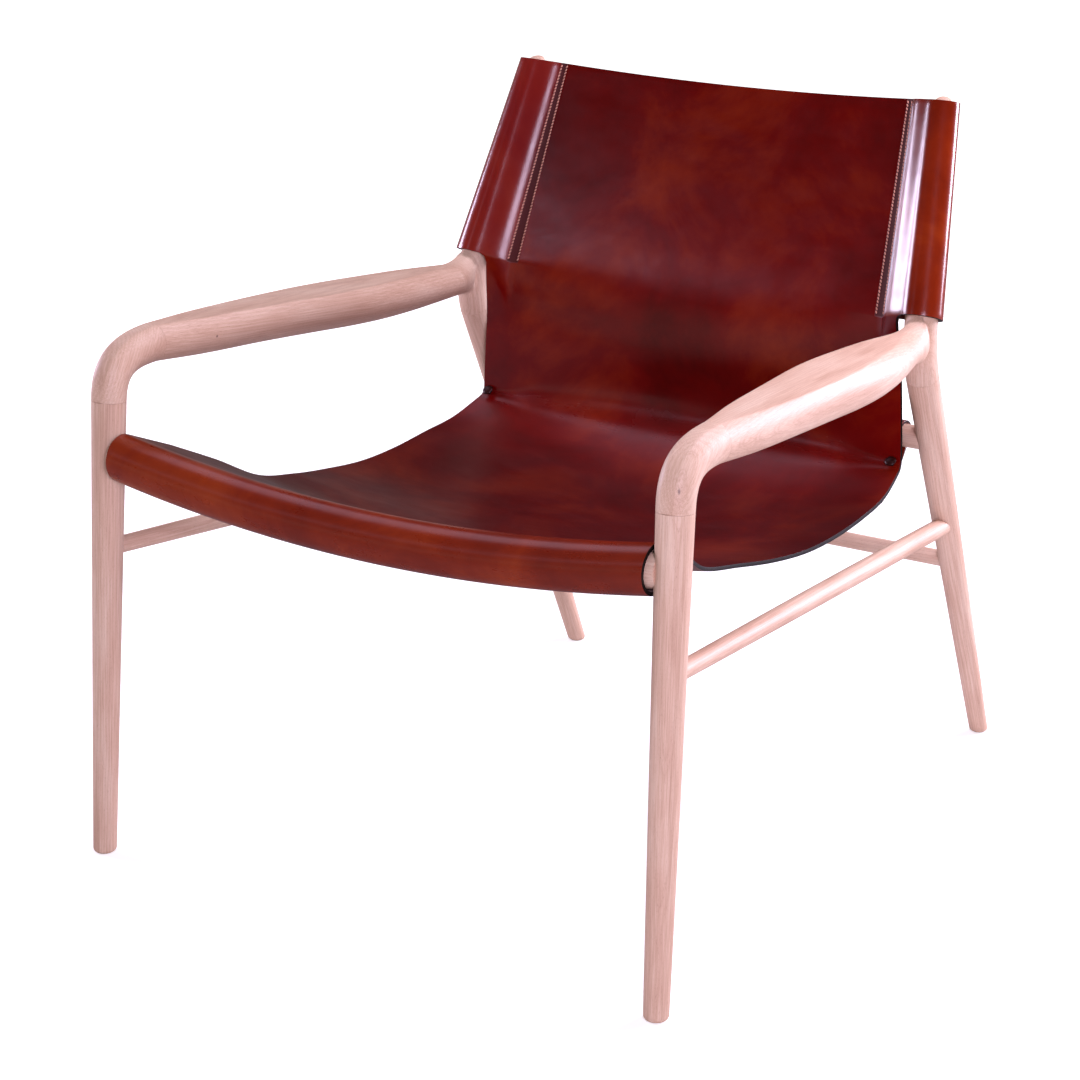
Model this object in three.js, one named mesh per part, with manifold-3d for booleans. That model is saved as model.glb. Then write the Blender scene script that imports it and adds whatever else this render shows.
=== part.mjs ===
// Lounge chair with a leather sling on a round oak frame, in millimetres.
// +Z is up, the front faces -Y, and +X is the sitter's left.
// The origin lies on the floor, in the middle of the space that the feet stand on.
import * as THREE from 'three';
import { mergeVertices } from 'three/addons/utils/BufferGeometryUtils.js';
import Module from 'manifold-3d';

const wasm = await Module();
wasm.setup();

// Fits that every joint shares
const jointGap = 0.3;
const cutOverrun = 8;
const roundSides = 20;
const pegSides = 10;

// Space that the feet stand in, and the height of the post tips
const footprintDepth = 838;
const overallHeight = 750;

// Heights of the frame's joints and of the crease, each worked out from the one above it
const postRise = 247;
const railBelowKnuckle = 110.5;
const creaseBelowRail = 23.5;
const frontRailAboveCrease = 60;
const seamAboveFrontRail = 53;
const sideStretcherBelowFrontRail = 100;
const sideStretcherBelowMidRail = 107.5;
const rearStretcherBelowSide = 47.5;
const knuckleHeight = overallHeight - postRise;
const midRailHeight = knuckleHeight - railBelowKnuckle;
const turnHeight = midRailHeight - creaseBelowRail;
const frontRailHeight = turnHeight + frontRailAboveCrease;
const frontSeamHeight = frontRailHeight + seamAboveFrontRail;
const sideStretcherFrontHeight = frontRailHeight - sideStretcherBelowFrontRail;
const sideStretcherRearHeight = midRailHeight - sideStretcherBelowMidRail;
const rearStretcherHeight = sideStretcherRearHeight - rearStretcherBelowSide;

// Front legs: tapered, leaning back and inwards
const frontFootSpread = 675;
const frontTopSpread = 662.4;
const frontLegLean = 31.4;
const frontFootRadius = 12.2;
const frontTopRadius = 17.8;
const footRounding = 5;

// Rear legs: tapered, splaying back from the knuckle
const rearFootSpread = 553.6;
const rearFootRadius = 10.4;
const rearTopRadius = 17.4;

// Knuckle, where the armrest, rear leg and back post meet
const knuckleSpread = 573;
const knuckleSetback = 187;
const knuckleRadius = 17.5;
const knuckleToLeg = 37;
const knuckleToPost = 50;
const upperFillet = 10;
const lowerFillet = 2;

// Back posts: tapered rods with a domed tip, inside the leather
const postTipSpread = 511;
const postTipSetback = 286.5;
const postBottomRadius = 17.2;
const postTipRadius = 10;

// Corner blocks, where a front leg turns into an armrest
const cornerReach = 67;
const cornerRiseShare = 0.74;
const cornerRunShare = 0.7;
const bendSteps = 8;

// Armrests: a leaf-shaped flat top over a rounded underside
const armAboveSeam = 65.5;
const armAboveKnuckle = 25.3;
const armFrontTop = frontSeamHeight + armAboveSeam;
const armRearTop = knuckleHeight + armAboveKnuckle;
const armTopCrown = 0.5;
const armRearSetback = 150;
const armFrontSpread = 659;
const armRearSpread = 572;
const armOutwardBow = 1.6;
const armFrontRadius = 18.6;
const armRearRadius = 22.8;
const armHalfWidth = 35.6;
const armFrontDepth = 39.1;
const armRearDepth = 37;
const armDepth = 47.4;
const flatHalfWidth = 29.8;
const bellyShift = 7;

// Rails and stretchers
const frontRailDrop = 30.5;
const frontRailRadius = 19.3;
const frontRailEndRadius = 16.8;
const frontRailTaper = 30;
const bowSteps = 10;
const midRailRadius = 12.5;
const rearStretcherRadius = 8.9;
const sideStretcherEndRadius = 8.8;
const sideStretcherRadius = 10.2;
const tenonRadiusShare = 0.62;
const tenonLength = 15;

// Loose dowels in the butt joints
const dowelRadius = 5;
const dowelLength = 44;

// Leather sling: one sheet, sewn round the front rail and the two back posts
const leather = 4;
const sleeveEndGap = 1;
const sleeveSlack = 1.2;
const hemWidth = 24;
const frontHemReach = 62;
const seatEdgeSpread = 561;
const seatDip = 63;
const seatSag = 20;
const turnSpread = 537;
const turnSetback = 195.5;
const turnRounding = 9;
const turnMiddleRounding = 30;
const turnSag = 4;
const panelEdgeSpread = 520;
const panelSetback = 197;
const cutAboveKnuckle = 24.7;
const cutHeight = knuckleHeight + cutAboveKnuckle;
const stitchBottomSpread = 473;
const stitchTopSpread = 440;
const sleeveBottomRadius = 23;
const sleeveTopRadius = 18;
const sleeveBottomFallShare = 0.05;
const sleeveTopFallShare = 0.1;
const sleeveTopLeanShare = 0.14;
const tipShow = 6.2;
const topEdgeDrop = 8;
const backBow = 12;

// Lumbar strap: a second sheet, from under the sling's turn round the middle rail
const strapLeather = 3;
const strapEndSpread = 528;
const strapLoopSpread = 504;
const strapSlack = 0.8;
const strapGap = 0.5;

// Rivets through the sling and the strap
const rivetSpread = 518;
const rivetTilt = 37;
const rivetHeadRadius = 6.2;
const rivetHeadHeight = 2.6;
const rivetShankRadius = 2;
const rivetCapRadius = 5;
const rivetCapHeight = 1.2;
const headSeating = 5.5;
const capSeating = 2;

// Colours seen on the chair
const oakColour = 0xd9b3a6;
const leatherColour = 0x6b1408;
const rivetColour = 0x4a1410;

const mix = THREE.MathUtils.lerp;
const point = (x, y, z) => new THREE.Vector3(x, y, z);
const between = (a, b, share) => a.clone().lerp(b, share);
const up = point(0, 0, 1);
const back = point(0, 1, 0);
const aside = point(1, 0, 0);

// Value of a table's column at some share along its first column, on a smooth curve through the rows
function fromTable(table, share, column = 1) {
  const last = table.length - 1;
  const end = Math.max(1, table.findIndex(([at], i) => i === last || at >= share));
  const slope = (i) => {
    const [before, after] = [table[Math.max(0, i - 1)], table[Math.min(last, i + 1)]];
    return (after[column] - before[column]) / (after[0] - before[0]);
  };
  const [from, to] = [table[end - 1], table[end]];
  const width = to[0] - from[0];
  const t = Math.min(1, (share - from[0]) / width);
  const straight = mix(from[column], to[column], t);
  const rise = (to[column] - from[column]) / width;
  const bulge = (slope(end - 1) - rise) * (1 - t) - (slope(end) - rise) * t;
  return straight + bulge * width * t * (1 - t);
}

// Closed solids

function geometryOf(points, triangles) {
  const geometry = new THREE.BufferGeometry();
  const places = points.flatMap((p) => [p.x, p.y, p.z]);
  geometry.setAttribute('position', new THREE.Float32BufferAttribute(places, 3));
  geometry.setIndex(triangles);
  return geometry;
}

function solidOf(geometry) {
  const bare = geometry.clone();
  bare.deleteAttribute('normal');
  bare.deleteAttribute('uv');
  const merged = mergeVertices(bare, 1e-5);
  return new wasm.Manifold(new wasm.Mesh({
    numProp: 3,
    vertProperties: new Float32Array(merged.attributes.position.array),
    triVerts: new Uint32Array(merged.index.array),
  }));
}

function meshOf(solid) {
  const { vertProperties, triVerts } = solid.getMesh();
  const geometry = new THREE.BufferGeometry();
  geometry.setAttribute('position', new THREE.BufferAttribute(new Float32Array(vertProperties), 3));
  geometry.setIndex(Array.from(triVerts));
  return geometry;
}

function rightSideOut(points, triangles) {
  const solid = solidOf(geometryOf(points, triangles));
  if (solid.volume() > 0) return solid;
  for (let i = 0; i < triangles.length; i += 3) {
    [triangles[i], triangles[i + 1]] = [triangles[i + 1], triangles[i]];
  }
  return solidOf(geometryOf(points, triangles));
}

// A solid skinned over rings that all have the same number of points
function loft(rings) {
  const sides = rings[0].length;
  const triangles = [];
  for (let row = 0; row < rings.length - 1; row += 1) {
    for (let i = 0; i < sides; i += 1) {
      const a = row * sides + i;
      const b = row * sides + (i + 1) % sides;
      triangles.push(a, b, b + sides, a, b + sides, a + sides);
    }
  }
  const top = (rings.length - 1) * sides;
  for (let i = 1; i < sides - 1; i += 1) {
    triangles.push(0, i + 1, i, top, top + i, top + i + 1);
  }
  return rightSideOut(rings.flat(), triangles);
}

// A circle about an axis, cut by the plane through its centre with the given normal
function ring(centre, axis, radius, normal = axis, sides = roundSides) {
  const along = axis.clone().normalize();
  const upright = Math.abs(along.z) > Math.abs(along.y);
  const sideways = new THREE.Vector3().crossVectors(along, upright ? back : up).normalize();
  const across = new THREE.Vector3().crossVectors(along, sideways);
  return Array.from({ length: sides }, (_, i) => {
    const turn = i / sides * Math.PI * 2;
    const spoke = sideways.clone().multiplyScalar(Math.cos(turn) * radius)
      .addScaledVector(across, Math.sin(turn) * radius);
    return centre.clone().add(spoke).addScaledVector(along, -spoke.dot(normal) / along.dot(normal));
  });
}

function peg(from, to, radius, sides = pegSides) {
  const axis = to.clone().sub(from);
  return loft([from, to].map((centre) => ring(centre, axis, radius, axis, sides)));
}

// Axes of the frame, for the side at +X

const frontFoot = point(frontFootSpread / 2, -footprintDepth / 2 + frontFootRadius, 0);
const frontTop = point(frontTopSpread / 2, frontFoot.y + frontLegLean, frontSeamHeight);
const rearFoot = point(rearFootSpread / 2, footprintDepth / 2 - rearFootRadius, 0);
const knuckle = point(knuckleSpread / 2, knuckleSetback, knuckleHeight);
const postTip = point(postTipSpread / 2, postTipSetback, overallHeight);

const frontAxis = frontTop.clone().sub(frontFoot).normalize();
const rearAxis = knuckle.clone().sub(rearFoot).normalize();
const postAxis = postTip.clone().sub(knuckle).normalize();

function atHeight(start, axis, height) {
  return start.clone().addScaledVector(axis, (height - start.z) / axis.z);
}

const legTop = knuckle.clone().addScaledVector(rearAxis, -knuckleToLeg);
const postBase = knuckle.clone().addScaledVector(postAxis, knuckleToPost);
const frontLegRadius = (height) => mix(frontFootRadius, frontTopRadius, height / frontSeamHeight);
const rearLegRadius = (height) => mix(rearFootRadius, rearTopRadius, height / legTop.z);

// Legs stand on a flat spot inside a rounded edge
const footEdgeShares = [[0, 1], [0.3, 0.4], [1, 0]];

function leg(foot, top, axis, footRadius, topRadius, grow) {
  const rings = footEdgeShares.map(([riseShare, insetShare]) => {
    const height = riseShare * footRounding;
    const radius = mix(footRadius, topRadius, height / top.z) - insetShare * footRounding + grow;
    return ring(atHeight(foot, axis, height), axis, radius, up);
  });
  const middleRadius = (footRadius + topRadius) / 2;
  rings.push(ring(atHeight(foot, axis, top.z / 2), axis, middleRadius + grow));
  rings.push(ring(top, axis, topRadius + grow));
  return loft(rings);
}

const frontLeg = (grow = 0) => leg(frontFoot, frontTop, frontAxis, frontFootRadius, frontTopRadius, grow);
const rearLeg = (grow = 0) => leg(rearFoot, legTop, rearAxis, rearFootRadius, rearTopRadius, grow);

// Armrest

// Shares along the armrest, then of its bow, its extra width, its flat top's width and its extra depth
const armShares = [
  [0, 0, 0, 0.24, 0],
  [0.148, 0.4, 0.37, 0.6, 0.43],
  [0.336, 1, 0.68, 0.84, 0.62],
  [0.525, 0.6, 0.93, 1, 0.87],
  [0.633, 0.3, 1, 0.96, 1],
  [0.743, 0.3, 0.93, 0.81, 0.96],
  [0.847, 0.3, 0.7, 0.63, 0.68],
  [0.934, 0.1, 0.33, 0.36, 0.3],
  [1, 0, 0, 0.08, 0],
];
const armSteps = 16;
const sectionSteps = 18;

// One upright section of the armrest: an ellipse with its top cut flat and its underside moved outwards
function armSection(centreX, y, top, halfWidth, depth, flat, shift) {
  const rise = Math.sqrt(1 - (flat / halfWidth) ** 2);
  const halfHeight = depth / (1 + rise);
  const start = Math.asin(rise);
  return Array.from({ length: sectionSteps + 1 }, (_, i) => {
    const turn = start - i / sectionSteps * (Math.PI + 2 * start);
    const below = (rise - Math.sin(turn)) * halfHeight;
    const across = Math.cos(turn) * halfWidth + shift * (below / depth) ** 2;
    return point(centreX + across, y, top - below);
  });
}

const armFrontY = frontTop.y + cornerReach;
const armTopAt = (share) => mix(armFrontTop, armRearTop, share) + armTopCrown * 4 * share * (1 - share);

function armRing(share, y = mix(armFrontY, armRearSetback, share)) {
  const [bow, width, flat, depth] = [1, 2, 3, 4].map((column) => fromTable(armShares, share, column));
  return armSection(
    mix(armFrontSpread, armRearSpread, share) / 2 + armOutwardBow * bow,
    y,
    armTopAt(share),
    mix(mix(armFrontRadius, armRearRadius, share), armHalfWidth, width),
    mix(mix(armFrontDepth, armRearDepth, share), armDepth, depth),
    flatHalfWidth * flat,
    bellyShift * width,
  );
}

function armrest() {
  const rings = Array.from({ length: armSteps + 1 }, (_, i) => armRing(i / armSteps));
  rings[0].forEach((p) => { p.y += jointGap / 2; });
  rings[armSteps].forEach((p) => { p.y -= jointGap / 2; });
  return loft(rings);
}

// Corner block: the leg's circle swings forward and over into the armrest's first section
function cornerBlock() {
  const end = armRing(0, armFrontY - jointGap / 2);
  const endMiddle = point(armFrontSpread / 2, end[0].y, armFrontTop - armFrontDepth / 2);
  const start = frontTop.clone().addScaledVector(frontAxis, jointGap / 2);
  const rings = [];
  const bend = new THREE.CubicBezierCurve3(
    start,
    start.clone().addScaledVector(frontAxis, (endMiddle.z - start.z) * cornerRiseShare),
    endMiddle.clone().addScaledVector(back, -cornerReach * cornerRunShare),
    endMiddle,
  );
  for (let i = 0; i <= bendSteps; i += 1) {
    const share = i / bendSteps;
    const centre = bend.getPoint(share);
    const along = bend.getTangent(share);
    const side = point(1, 0, 0);
    const over = new THREE.Vector3().crossVectors(side, along).normalize();
    side.crossVectors(along, over);
    rings.push(end.map((p) => {
      const x = p.x - endMiddle.x;
      const z = p.z - endMiddle.z;
      const angle = Math.atan2(z, x);
      const round = point(Math.cos(angle) * frontTopRadius, 0, Math.sin(angle) * frontTopRadius);
      const local = round.lerp(point(x, 0, z), share);
      return centre.clone().addScaledVector(side, local.x).addScaledVector(over, local.z);
    }));
  }
  return loft(rings);
}

// Knuckle: a bent rod from the leg to the post, with a filleted arm towards the armrest
const flareShares = [
  [0, 0, 0],
  [0.25, 0.03, 0.25],
  [0.5, 0.14, 0.5],
  [0.72, 0.36, 0.72],
  [0.88, 0.66, 0.88],
  [1, 1, 1],
];
const armSinkShare = 0.35;
const filletLeanShare = 0.35;
const armSunkHalf = knuckleRadius * Math.sqrt(1 - armSinkShare ** 2);

function knuckleBlock() {
  const low = legTop.clone().addScaledVector(rearAxis, jointGap);
  const high = postBase.clone().addScaledVector(postAxis, -jointGap);
  const bend = new THREE.QuadraticBezierCurve3(low, knuckle, high);
  const rings = Array.from({ length: bendSteps + 1 }, (_, i) => {
    const share = i / bendSteps;
    const end = mix(rearTopRadius, postBottomRadius, share);
    const radius = mix(end, knuckleRadius, Math.sin(share * Math.PI));
    return ring(bend.getPoint(share), bend.getTangent(share), radius);
  });
  const mouth = armRing(1, armRearSetback + jointGap / 2);
  const middle = armRearTop - armRearDepth / 2;
  const reach = knuckle.y - knuckleRadius * armSinkShare - mouth[0].y;
  const arm = flareShares.map(([share, riseShare, fallShare]) => mouth.map((p) => {
    const above = p.z > middle;
    const fillet = above ? riseShare * upperFillet : fallShare * lowerFillet;
    const away = (p.z - middle) / (armRearDepth / 2);
    const lean = above ? fillet * filletLeanShare * away : 0;
    const across = (p.x - armRearSpread / 2) * mix(1, armSunkHalf / armRearRadius, share);
    const centreX = mix(armRearSpread / 2, knuckle.x, share);
    return point(centreX + across, p.y + reach * share + lean, p.z + fillet * away);
  }));
  return loft(rings).add(loft(arm))
    .trimByPlane(postAxis.clone().negate().toArray(), -high.dot(postAxis))
    .trimByPlane(rearAxis.toArray(), low.dot(rearAxis));
}

// Back post with its domed tip
const domeShares = [[0, 1], [0.28, 0.9], [0.55, 0.68], [0.8, 0.42], [1, 0.12]];
const domeHeight = 8;

function backPost() {
  const rings = [
    ring(postBase, postAxis, postBottomRadius),
    ring(between(postBase, postTip, 1 / 2), postAxis, (postBottomRadius + postTipRadius) / 2),
  ];
  domeShares.forEach(([riseShare, radiusShare]) => {
    const height = mix(overallHeight - domeHeight, overallHeight, riseShare);
    rings.push(ring(atHeight(knuckle, postAxis, height), postAxis, postTipRadius * radiusShare, up));
  });
  return loft(rings);
}

// Rails run between the two sides and meet the legs in a hollow cut with a round tenon inside

function acrossRod(stations, radii) {
  return loft(stations.map((centre, i) => ring(centre, aside, radii[i])));
}

const pegAlong = (start, axis, from, to, radius) => peg(
  start.clone().addScaledVector(axis, from),
  start.clone().addScaledVector(axis, to),
  radius,
);
const tenonAt = (start, axis, radius) => pegAlong(start, axis, -cutOverrun, tenonLength, radius);
const socketAt = (start, axis, radius) => (
  pegAlong(start, axis, -cutOverrun, tenonLength + jointGap, radius + jointGap)
);

const mirrorPoint = (p) => point(-p.x, p.y, p.z);
const mirrorSolid = (solid) => solid.mirror([1, 0, 0]);

function railBetween(shoulder, rod, grownLeg, tenonRadius) {
  const tenon = tenonAt(shoulder, aside, tenonRadius);
  return rod.subtract(grownLeg).subtract(mirrorSolid(grownLeg)).add(tenon).add(mirrorSolid(tenon));
}

const frontRailAtLeg = atHeight(frontFoot, frontAxis, frontRailHeight);
const midRailAtLeg = atHeight(rearFoot, rearAxis, midRailHeight);
const rearStretcherAtLeg = atHeight(rearFoot, rearAxis, rearStretcherHeight);
const shoulderOf = (axisAtLeg, legRadius) => axisAtLeg.clone().addScaledVector(aside, -legRadius);
const frontRailShoulder = shoulderOf(frontRailAtLeg, frontLegRadius(frontRailHeight));
const midRailShoulder = shoulderOf(midRailAtLeg, rearLegRadius(midRailHeight));
const rearStretcherShoulder = shoulderOf(rearStretcherAtLeg, rearLegRadius(rearStretcherHeight));

const railLine = (x) => frontRailHeight - frontRailDrop * (1 - (x / frontRailAtLeg.x) ** 2);
const frontTenonRadius = frontRailEndRadius * tenonRadiusShare;
const midTenonRadius = midRailRadius * tenonRadiusShare;
const stretcherTenonRadius = rearStretcherRadius * tenonRadiusShare;
const sideTenonRadius = sideStretcherEndRadius * tenonRadiusShare;

function frontRail() {
  const end = frontRailShoulder.x + cutOverrun;
  const full = frontRailShoulder.x - frontRailTaper;
  const stations = [-end, -full];
  for (let i = 1; i < bowSteps; i += 1) stations.push(mix(-full, full, i / bowSteps));
  stations.push(full, end);
  const last = stations.length - 1;
  const rod = acrossRod(
    stations.map((x) => point(x, frontRailAtLeg.y, railLine(x))),
    stations.map((_, i) => (i === 0 || i === last ? frontRailEndRadius : frontRailRadius)),
  );
  return railBetween(frontRailShoulder, rod, frontLeg(jointGap), frontTenonRadius);
}

function straightRail(atLeg, shoulder, radius, tenonRadius) {
  const rod = acrossRod([mirrorPoint(atLeg), atLeg], [radius, radius]);
  return railBetween(shoulder, rod, rearLeg(jointGap), tenonRadius);
}

// Side stretcher, between the front and rear leg of one side
const sideFront = atHeight(frontFoot, frontAxis, sideStretcherFrontHeight);
const sideRear = atHeight(rearFoot, rearAxis, sideStretcherRearHeight);
const sideAxis = sideRear.clone().sub(sideFront).normalize();
const sideFrontFace = sideFront.clone().addScaledVector(sideAxis, frontLegRadius(sideStretcherFrontHeight));
const sideRearFace = sideRear.clone().addScaledVector(sideAxis, -rearLegRadius(sideStretcherRearHeight));

function sideStretcher() {
  const swellShares = [[0, 0], [0.2, 0.5], [0.5, 1], [0.85, 1], [1, 0.8]];
  const rod = loft(swellShares.map(([share, swell]) => ring(
    between(sideFront, sideRear, share), sideAxis, mix(sideStretcherEndRadius, sideStretcherRadius, swell),
  )));
  return rod.subtract(frontLeg(jointGap)).subtract(rearLeg(jointGap))
    .add(tenonAt(sideFrontFace, sideAxis.clone().negate(), sideTenonRadius))
    .add(tenonAt(sideRearFace, sideAxis, sideTenonRadius));
}

// Dowels in the butt joints: a place and the axis of the grain there
const armFrontJoint = point(armFrontSpread / 2, armFrontY, armFrontTop - armFrontDepth / 2);
const armRearJoint = point(armRearSpread / 2, armRearSetback, armRearTop - armRearDepth / 2);
const dowelJoints = {
  leg_corner: [frontTop, frontAxis],
  corner_arm: [armFrontJoint, point(0, 1, 0)],
  arm_knuckle: [armRearJoint, point(0, 1, 0)],
  leg_knuckle: [legTop, rearAxis],
  post_knuckle: [postBase, postAxis],
};

function dowelIn(joint, spare) {
  const [place, axis] = dowelJoints[joint];
  const half = dowelLength / 2 + spare;
  return peg(
    place.clone().addScaledVector(axis, -half),
    place.clone().addScaledVector(axis, half),
    dowelRadius + spare,
  );
}

function drill(solid, ...joints) {
  return joints.reduce((rest, joint) => rest.subtract(dowelIn(joint, jointGap)), solid);
}

// Leather: a sheet given by its middle surface, as a grid with places left empty

// The same quad, starting at an end of its shorter diagonal
function fromShortDiagonal([a, b, c, d], points) {
  const shorter = points[a].distanceTo(points[c]) <= points[b].distanceTo(points[d]);
  return shorter ? [a, b, c, d] : [b, c, d, a];
}

function thicken(grid, thickness) {
  const rows = grid.length;
  const columns = grid[0].length;
  const ids = grid.map((row) => row.map(() => -1));
  const points = [];
  const normals = [];
  grid.forEach((row, i) => row.forEach((p, j) => {
    if (!p) return;
    ids[i][j] = points.length;
    points.push(p);
    normals.push(point(0, 0, 0));
  }));
  const quads = [];
  for (let i = 0; i < rows - 1; i += 1) {
    for (let j = 0; j < columns - 1; j += 1) {
      const quad = [ids[i][j], ids[i][j + 1], ids[i + 1][j + 1], ids[i + 1][j]];
      if (quad.every((id) => id >= 0)) quads.push(fromShortDiagonal(quad, points));
    }
  }
  quads.forEach(([a, b, c, d]) => {
    const face = new THREE.Vector3().crossVectors(
      points[c].clone().sub(points[a]), points[d].clone().sub(points[b]),
    ).normalize();
    [a, b, c, d].forEach((id) => normals[id].add(face));
  });
  normals.forEach((normal) => normal.setLength(thickness / 2));
  const shifted = (way) => points.map((p, i) => p.clone().addScaledVector(normals[i], way));
  const count = points.length;
  const triangles = [];
  const edges = new Map();
  quads.forEach(([a, b, c, d]) => {
    triangles.push(a, b, c, a, c, d);
    triangles.push(count + a, count + c, count + b, count + a, count + d, count + c);
    [[a, b], [b, c], [c, d], [d, a]].forEach(([from, to]) => edges.set(`${from}_${to}`, [from, to]));
  });
  edges.forEach(([from, to]) => {
    if (edges.has(`${to}_${from}`)) return;
    triangles.push(to, from, count + from, to, count + from, count + to);
  });
  return rightSideOut([...shifted(1), ...shifted(-1)], triangles);
}

// Places on the sling are worked out on its middle surface, for u from -1 to 1 across it.
// Rows run from the hem under the front rail, over the rail and the seat, and up the back.

const frontLoopRadius = frontRailRadius + sleeveSlack + leather / 2;
const sleeveHalf = frontRailShoulder.x - sleeveEndGap;
const seatStart = frontRailAtLeg.y + frontHemReach;
const crestHeight = frontRailHeight + frontLoopRadius;
const layerStep = leather + jointGap;

const dipShares = [
  [0, 0.295], [0.09, 0.56], [0.19, 0.88], [0.31, 0.965], [0.43, 1], [0.56, 0.975],
  [0.68, 0.84], [0.8, 0.62], [0.9, 0.4], [1, 0],
];
const seatWidthShares = [
  [0, 0.7], [0.09, 0.1], [0.19, -0.26], [0.31, -0.26], [0.43, -0.1], [0.56, -0.03], [0.7, 0], [1, 0],
];
const turnStartShare = 0.75;
const frontSagShare = 0.4;
const bowAt = (u) => 1 - u * u;

function seatHalf(share) {
  const nearTurn = Math.max(0, share - turnStartShare) / (1 - turnStartShare);
  const plain = mix(seatEdgeSpread, turnSpread, nearTurn ** 2) / 2;
  return mix(plain, sleeveHalf, fromTable(seatWidthShares, share));
}

function seatPoint(share, u) {
  const y = mix(seatStart, turnSetback, share);
  const along = (y - frontRailAtLeg.y) / (turnSetback - frontRailAtLeg.y);
  const chord = mix(crestHeight, turnHeight, along);
  const frontSag = mix(frontRailDrop, seatSag, Math.min(1, share / frontSagShare));
  const sag = mix(frontSag, turnSag, Math.max(0, share - turnStartShare) / (1 - turnStartShare));
  return point(u * seatHalf(share), y, chord - seatDip * fromTable(dipShares, share) - sag * bowAt(u));
}

const slopeShare = 0.01;

function seatNormal(share, u) {
  const ahead = seatPoint(share, u);
  const behind = seatPoint(share - slopeShare, u);
  return point(0, behind.z - ahead.z, ahead.y - behind.y).normalize();
}

const underSeat = (share, u, depth) => seatPoint(share, u).addScaledVector(seatNormal(share, u), -depth);

// Where a line from a place touches a circle in the YZ plane, as a turn from +Y towards +Z
function tangentTurn(centre, from, radius, way) {
  const gapY = from.y - centre.y;
  const gapZ = from.z - centre.z;
  return Math.atan2(gapZ, gapY) + way * Math.acos(radius / Math.hypot(gapY, gapZ));
}

// Places on that circle, from one turn to another
function arcRows(centre, radius, first, last, steps) {
  return Array.from({ length: steps + 1 }, (_, i) => {
    const turn = mix(first, last, i / steps);
    return centre.clone().add(point(0, Math.cos(turn) * radius, Math.sin(turn) * radius));
  });
}

// The sheet runs round the front rail, from its hem behind the rail to the rail's top
const loopSteps = 13;

function frontLoop(u) {
  const centre = point(u * sleeveHalf, frontRailAtLeg.y, railLine(u * sleeveHalf));
  const hemEnd = underSeat(hemWidth / (turnSetback - seatStart), u, layerStep);
  const hemStart = underSeat(0, u, layerStep);
  const low = tangentTurn(centre, hemStart, frontLoopRadius, -1);
  const high = tangentTurn(centre, seatPoint(0, u), frontLoopRadius, 1) - Math.PI * 2;
  return [hemEnd, hemStart, ...arcRows(centre, frontLoopRadius, low, high, loopSteps)];
}

// Line of stitches that closes each post sleeve, on the middle surface of the panel
const stitchBehindBottom = 7;
const stitchBehindTop = 4;
const topEdge = overallHeight - tipShow;

function stitchPoint(share) {
  const height = mix(cutHeight, topEdge, share);
  const x = mix(stitchBottomSpread, stitchTopSpread, share) / 2;
  const postSetback = atHeight(knuckle, postAxis, height).y;
  return point(x, postSetback + mix(stitchBehindBottom, stitchBehindTop, share), height);
}

// Section of a post sleeve, square to the post: out from the stitches, round the post and back.
// It is laid out flat first, with Y pointing outwards and Z pointing to the front.
const outward = aside.clone().addScaledVector(postAxis, -postAxis.x).normalize();
const forward = new THREE.Vector3().crossVectors(postAxis, outward).negate();
const bandColumnShares = [0.34, 0.68];
const sleeveSteps = 12;

function sleeveSection(share, inner) {
  const start = stitchPoint(share);
  const radius = mix(sleeveBottomRadius, sleeveTopRadius, share) - leather / 2;
  const axisPlace = knuckle.clone().addScaledVector(postAxis, start.clone().sub(knuckle).dot(postAxis));
  const toAxis = axisPlace.sub(start);
  const centre = point(0, toAxis.dot(outward), toAxis.dot(forward));
  const seam = point(0, 0, 0);
  const hemSeam = point(0, 0, -layerStep);
  const first = tangentTurn(centre, seam, radius, -1);
  const last = tangentTurn(centre, hemSeam, radius, 1) - Math.PI * 2;
  const loop = arcRows(centre, radius, first, last, sleeveSteps);
  const band = bandColumnShares.map((part) => between(seam, loop[0], part));
  const tilt = (p) => p.y * mix(sleeveBottomFallShare, sleeveTopFallShare, share)
    + p.z * sleeveTopLeanShare * share;
  const columns = [...band, ...loop, hemSeam].map((p) => start.clone()
    .addScaledVector(outward, p.y)
    .addScaledVector(forward, p.z)
    .addScaledVector(postAxis, -tilt(p)));
  const hemEnd = between(start, inner, hemWidth / start.distanceTo(inner) / 2);
  columns.push(hemEnd.addScaledVector(forward, -layerStep));
  return columns;
}

// Panel between the turn and the sleeves' lower edge
const stitchColumnShare = 0.89;
const innerColumnShares = [0, 0.34, 0.68, 1];
const lowerRowShares = [0.22, 0.45, 0.68, 0.86];
const upperRowShares = [0, 0.25, 0.5, 0.75, 1];
const edgeNarrowing = 1.3;
const bendStartShare = 0.45;

function panelPoint(share, u) {
  const bend = (Math.max(0, share - bendStartShare) / (1 - bendStartShare)) ** 2;
  const inside = Math.min(1, (1 - Math.abs(u)) / (1 - stitchColumnShare));
  const setback = mix(mix(turnSetback, panelSetback, share), stitchPoint(0).y, bend * inside);
  const half = mix(turnSpread, panelEdgeSpread, share ** edgeNarrowing) / 2;
  const bow = mix(turnSag, backBow, bend) * bowAt(Math.min(1, Math.abs(u) / stitchColumnShare));
  return point(u * half, setback + bow, mix(turnHeight - turnSag * bowAt(u), cutHeight, share));
}

function upperPoint(share, part) {
  const edge = stitchPoint(share);
  return point(part * edge.x, edge.y + backBow * bowAt(part), edge.z - topEdgeDrop * share * bowAt(part));
}

// The crease between seat and back, tight at the rivets and softer towards the middle
const turnRowShares = [0, 0.3, 0.5, 0.7, 1];
const rivetRowShare = turnRowShares[2];

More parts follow.
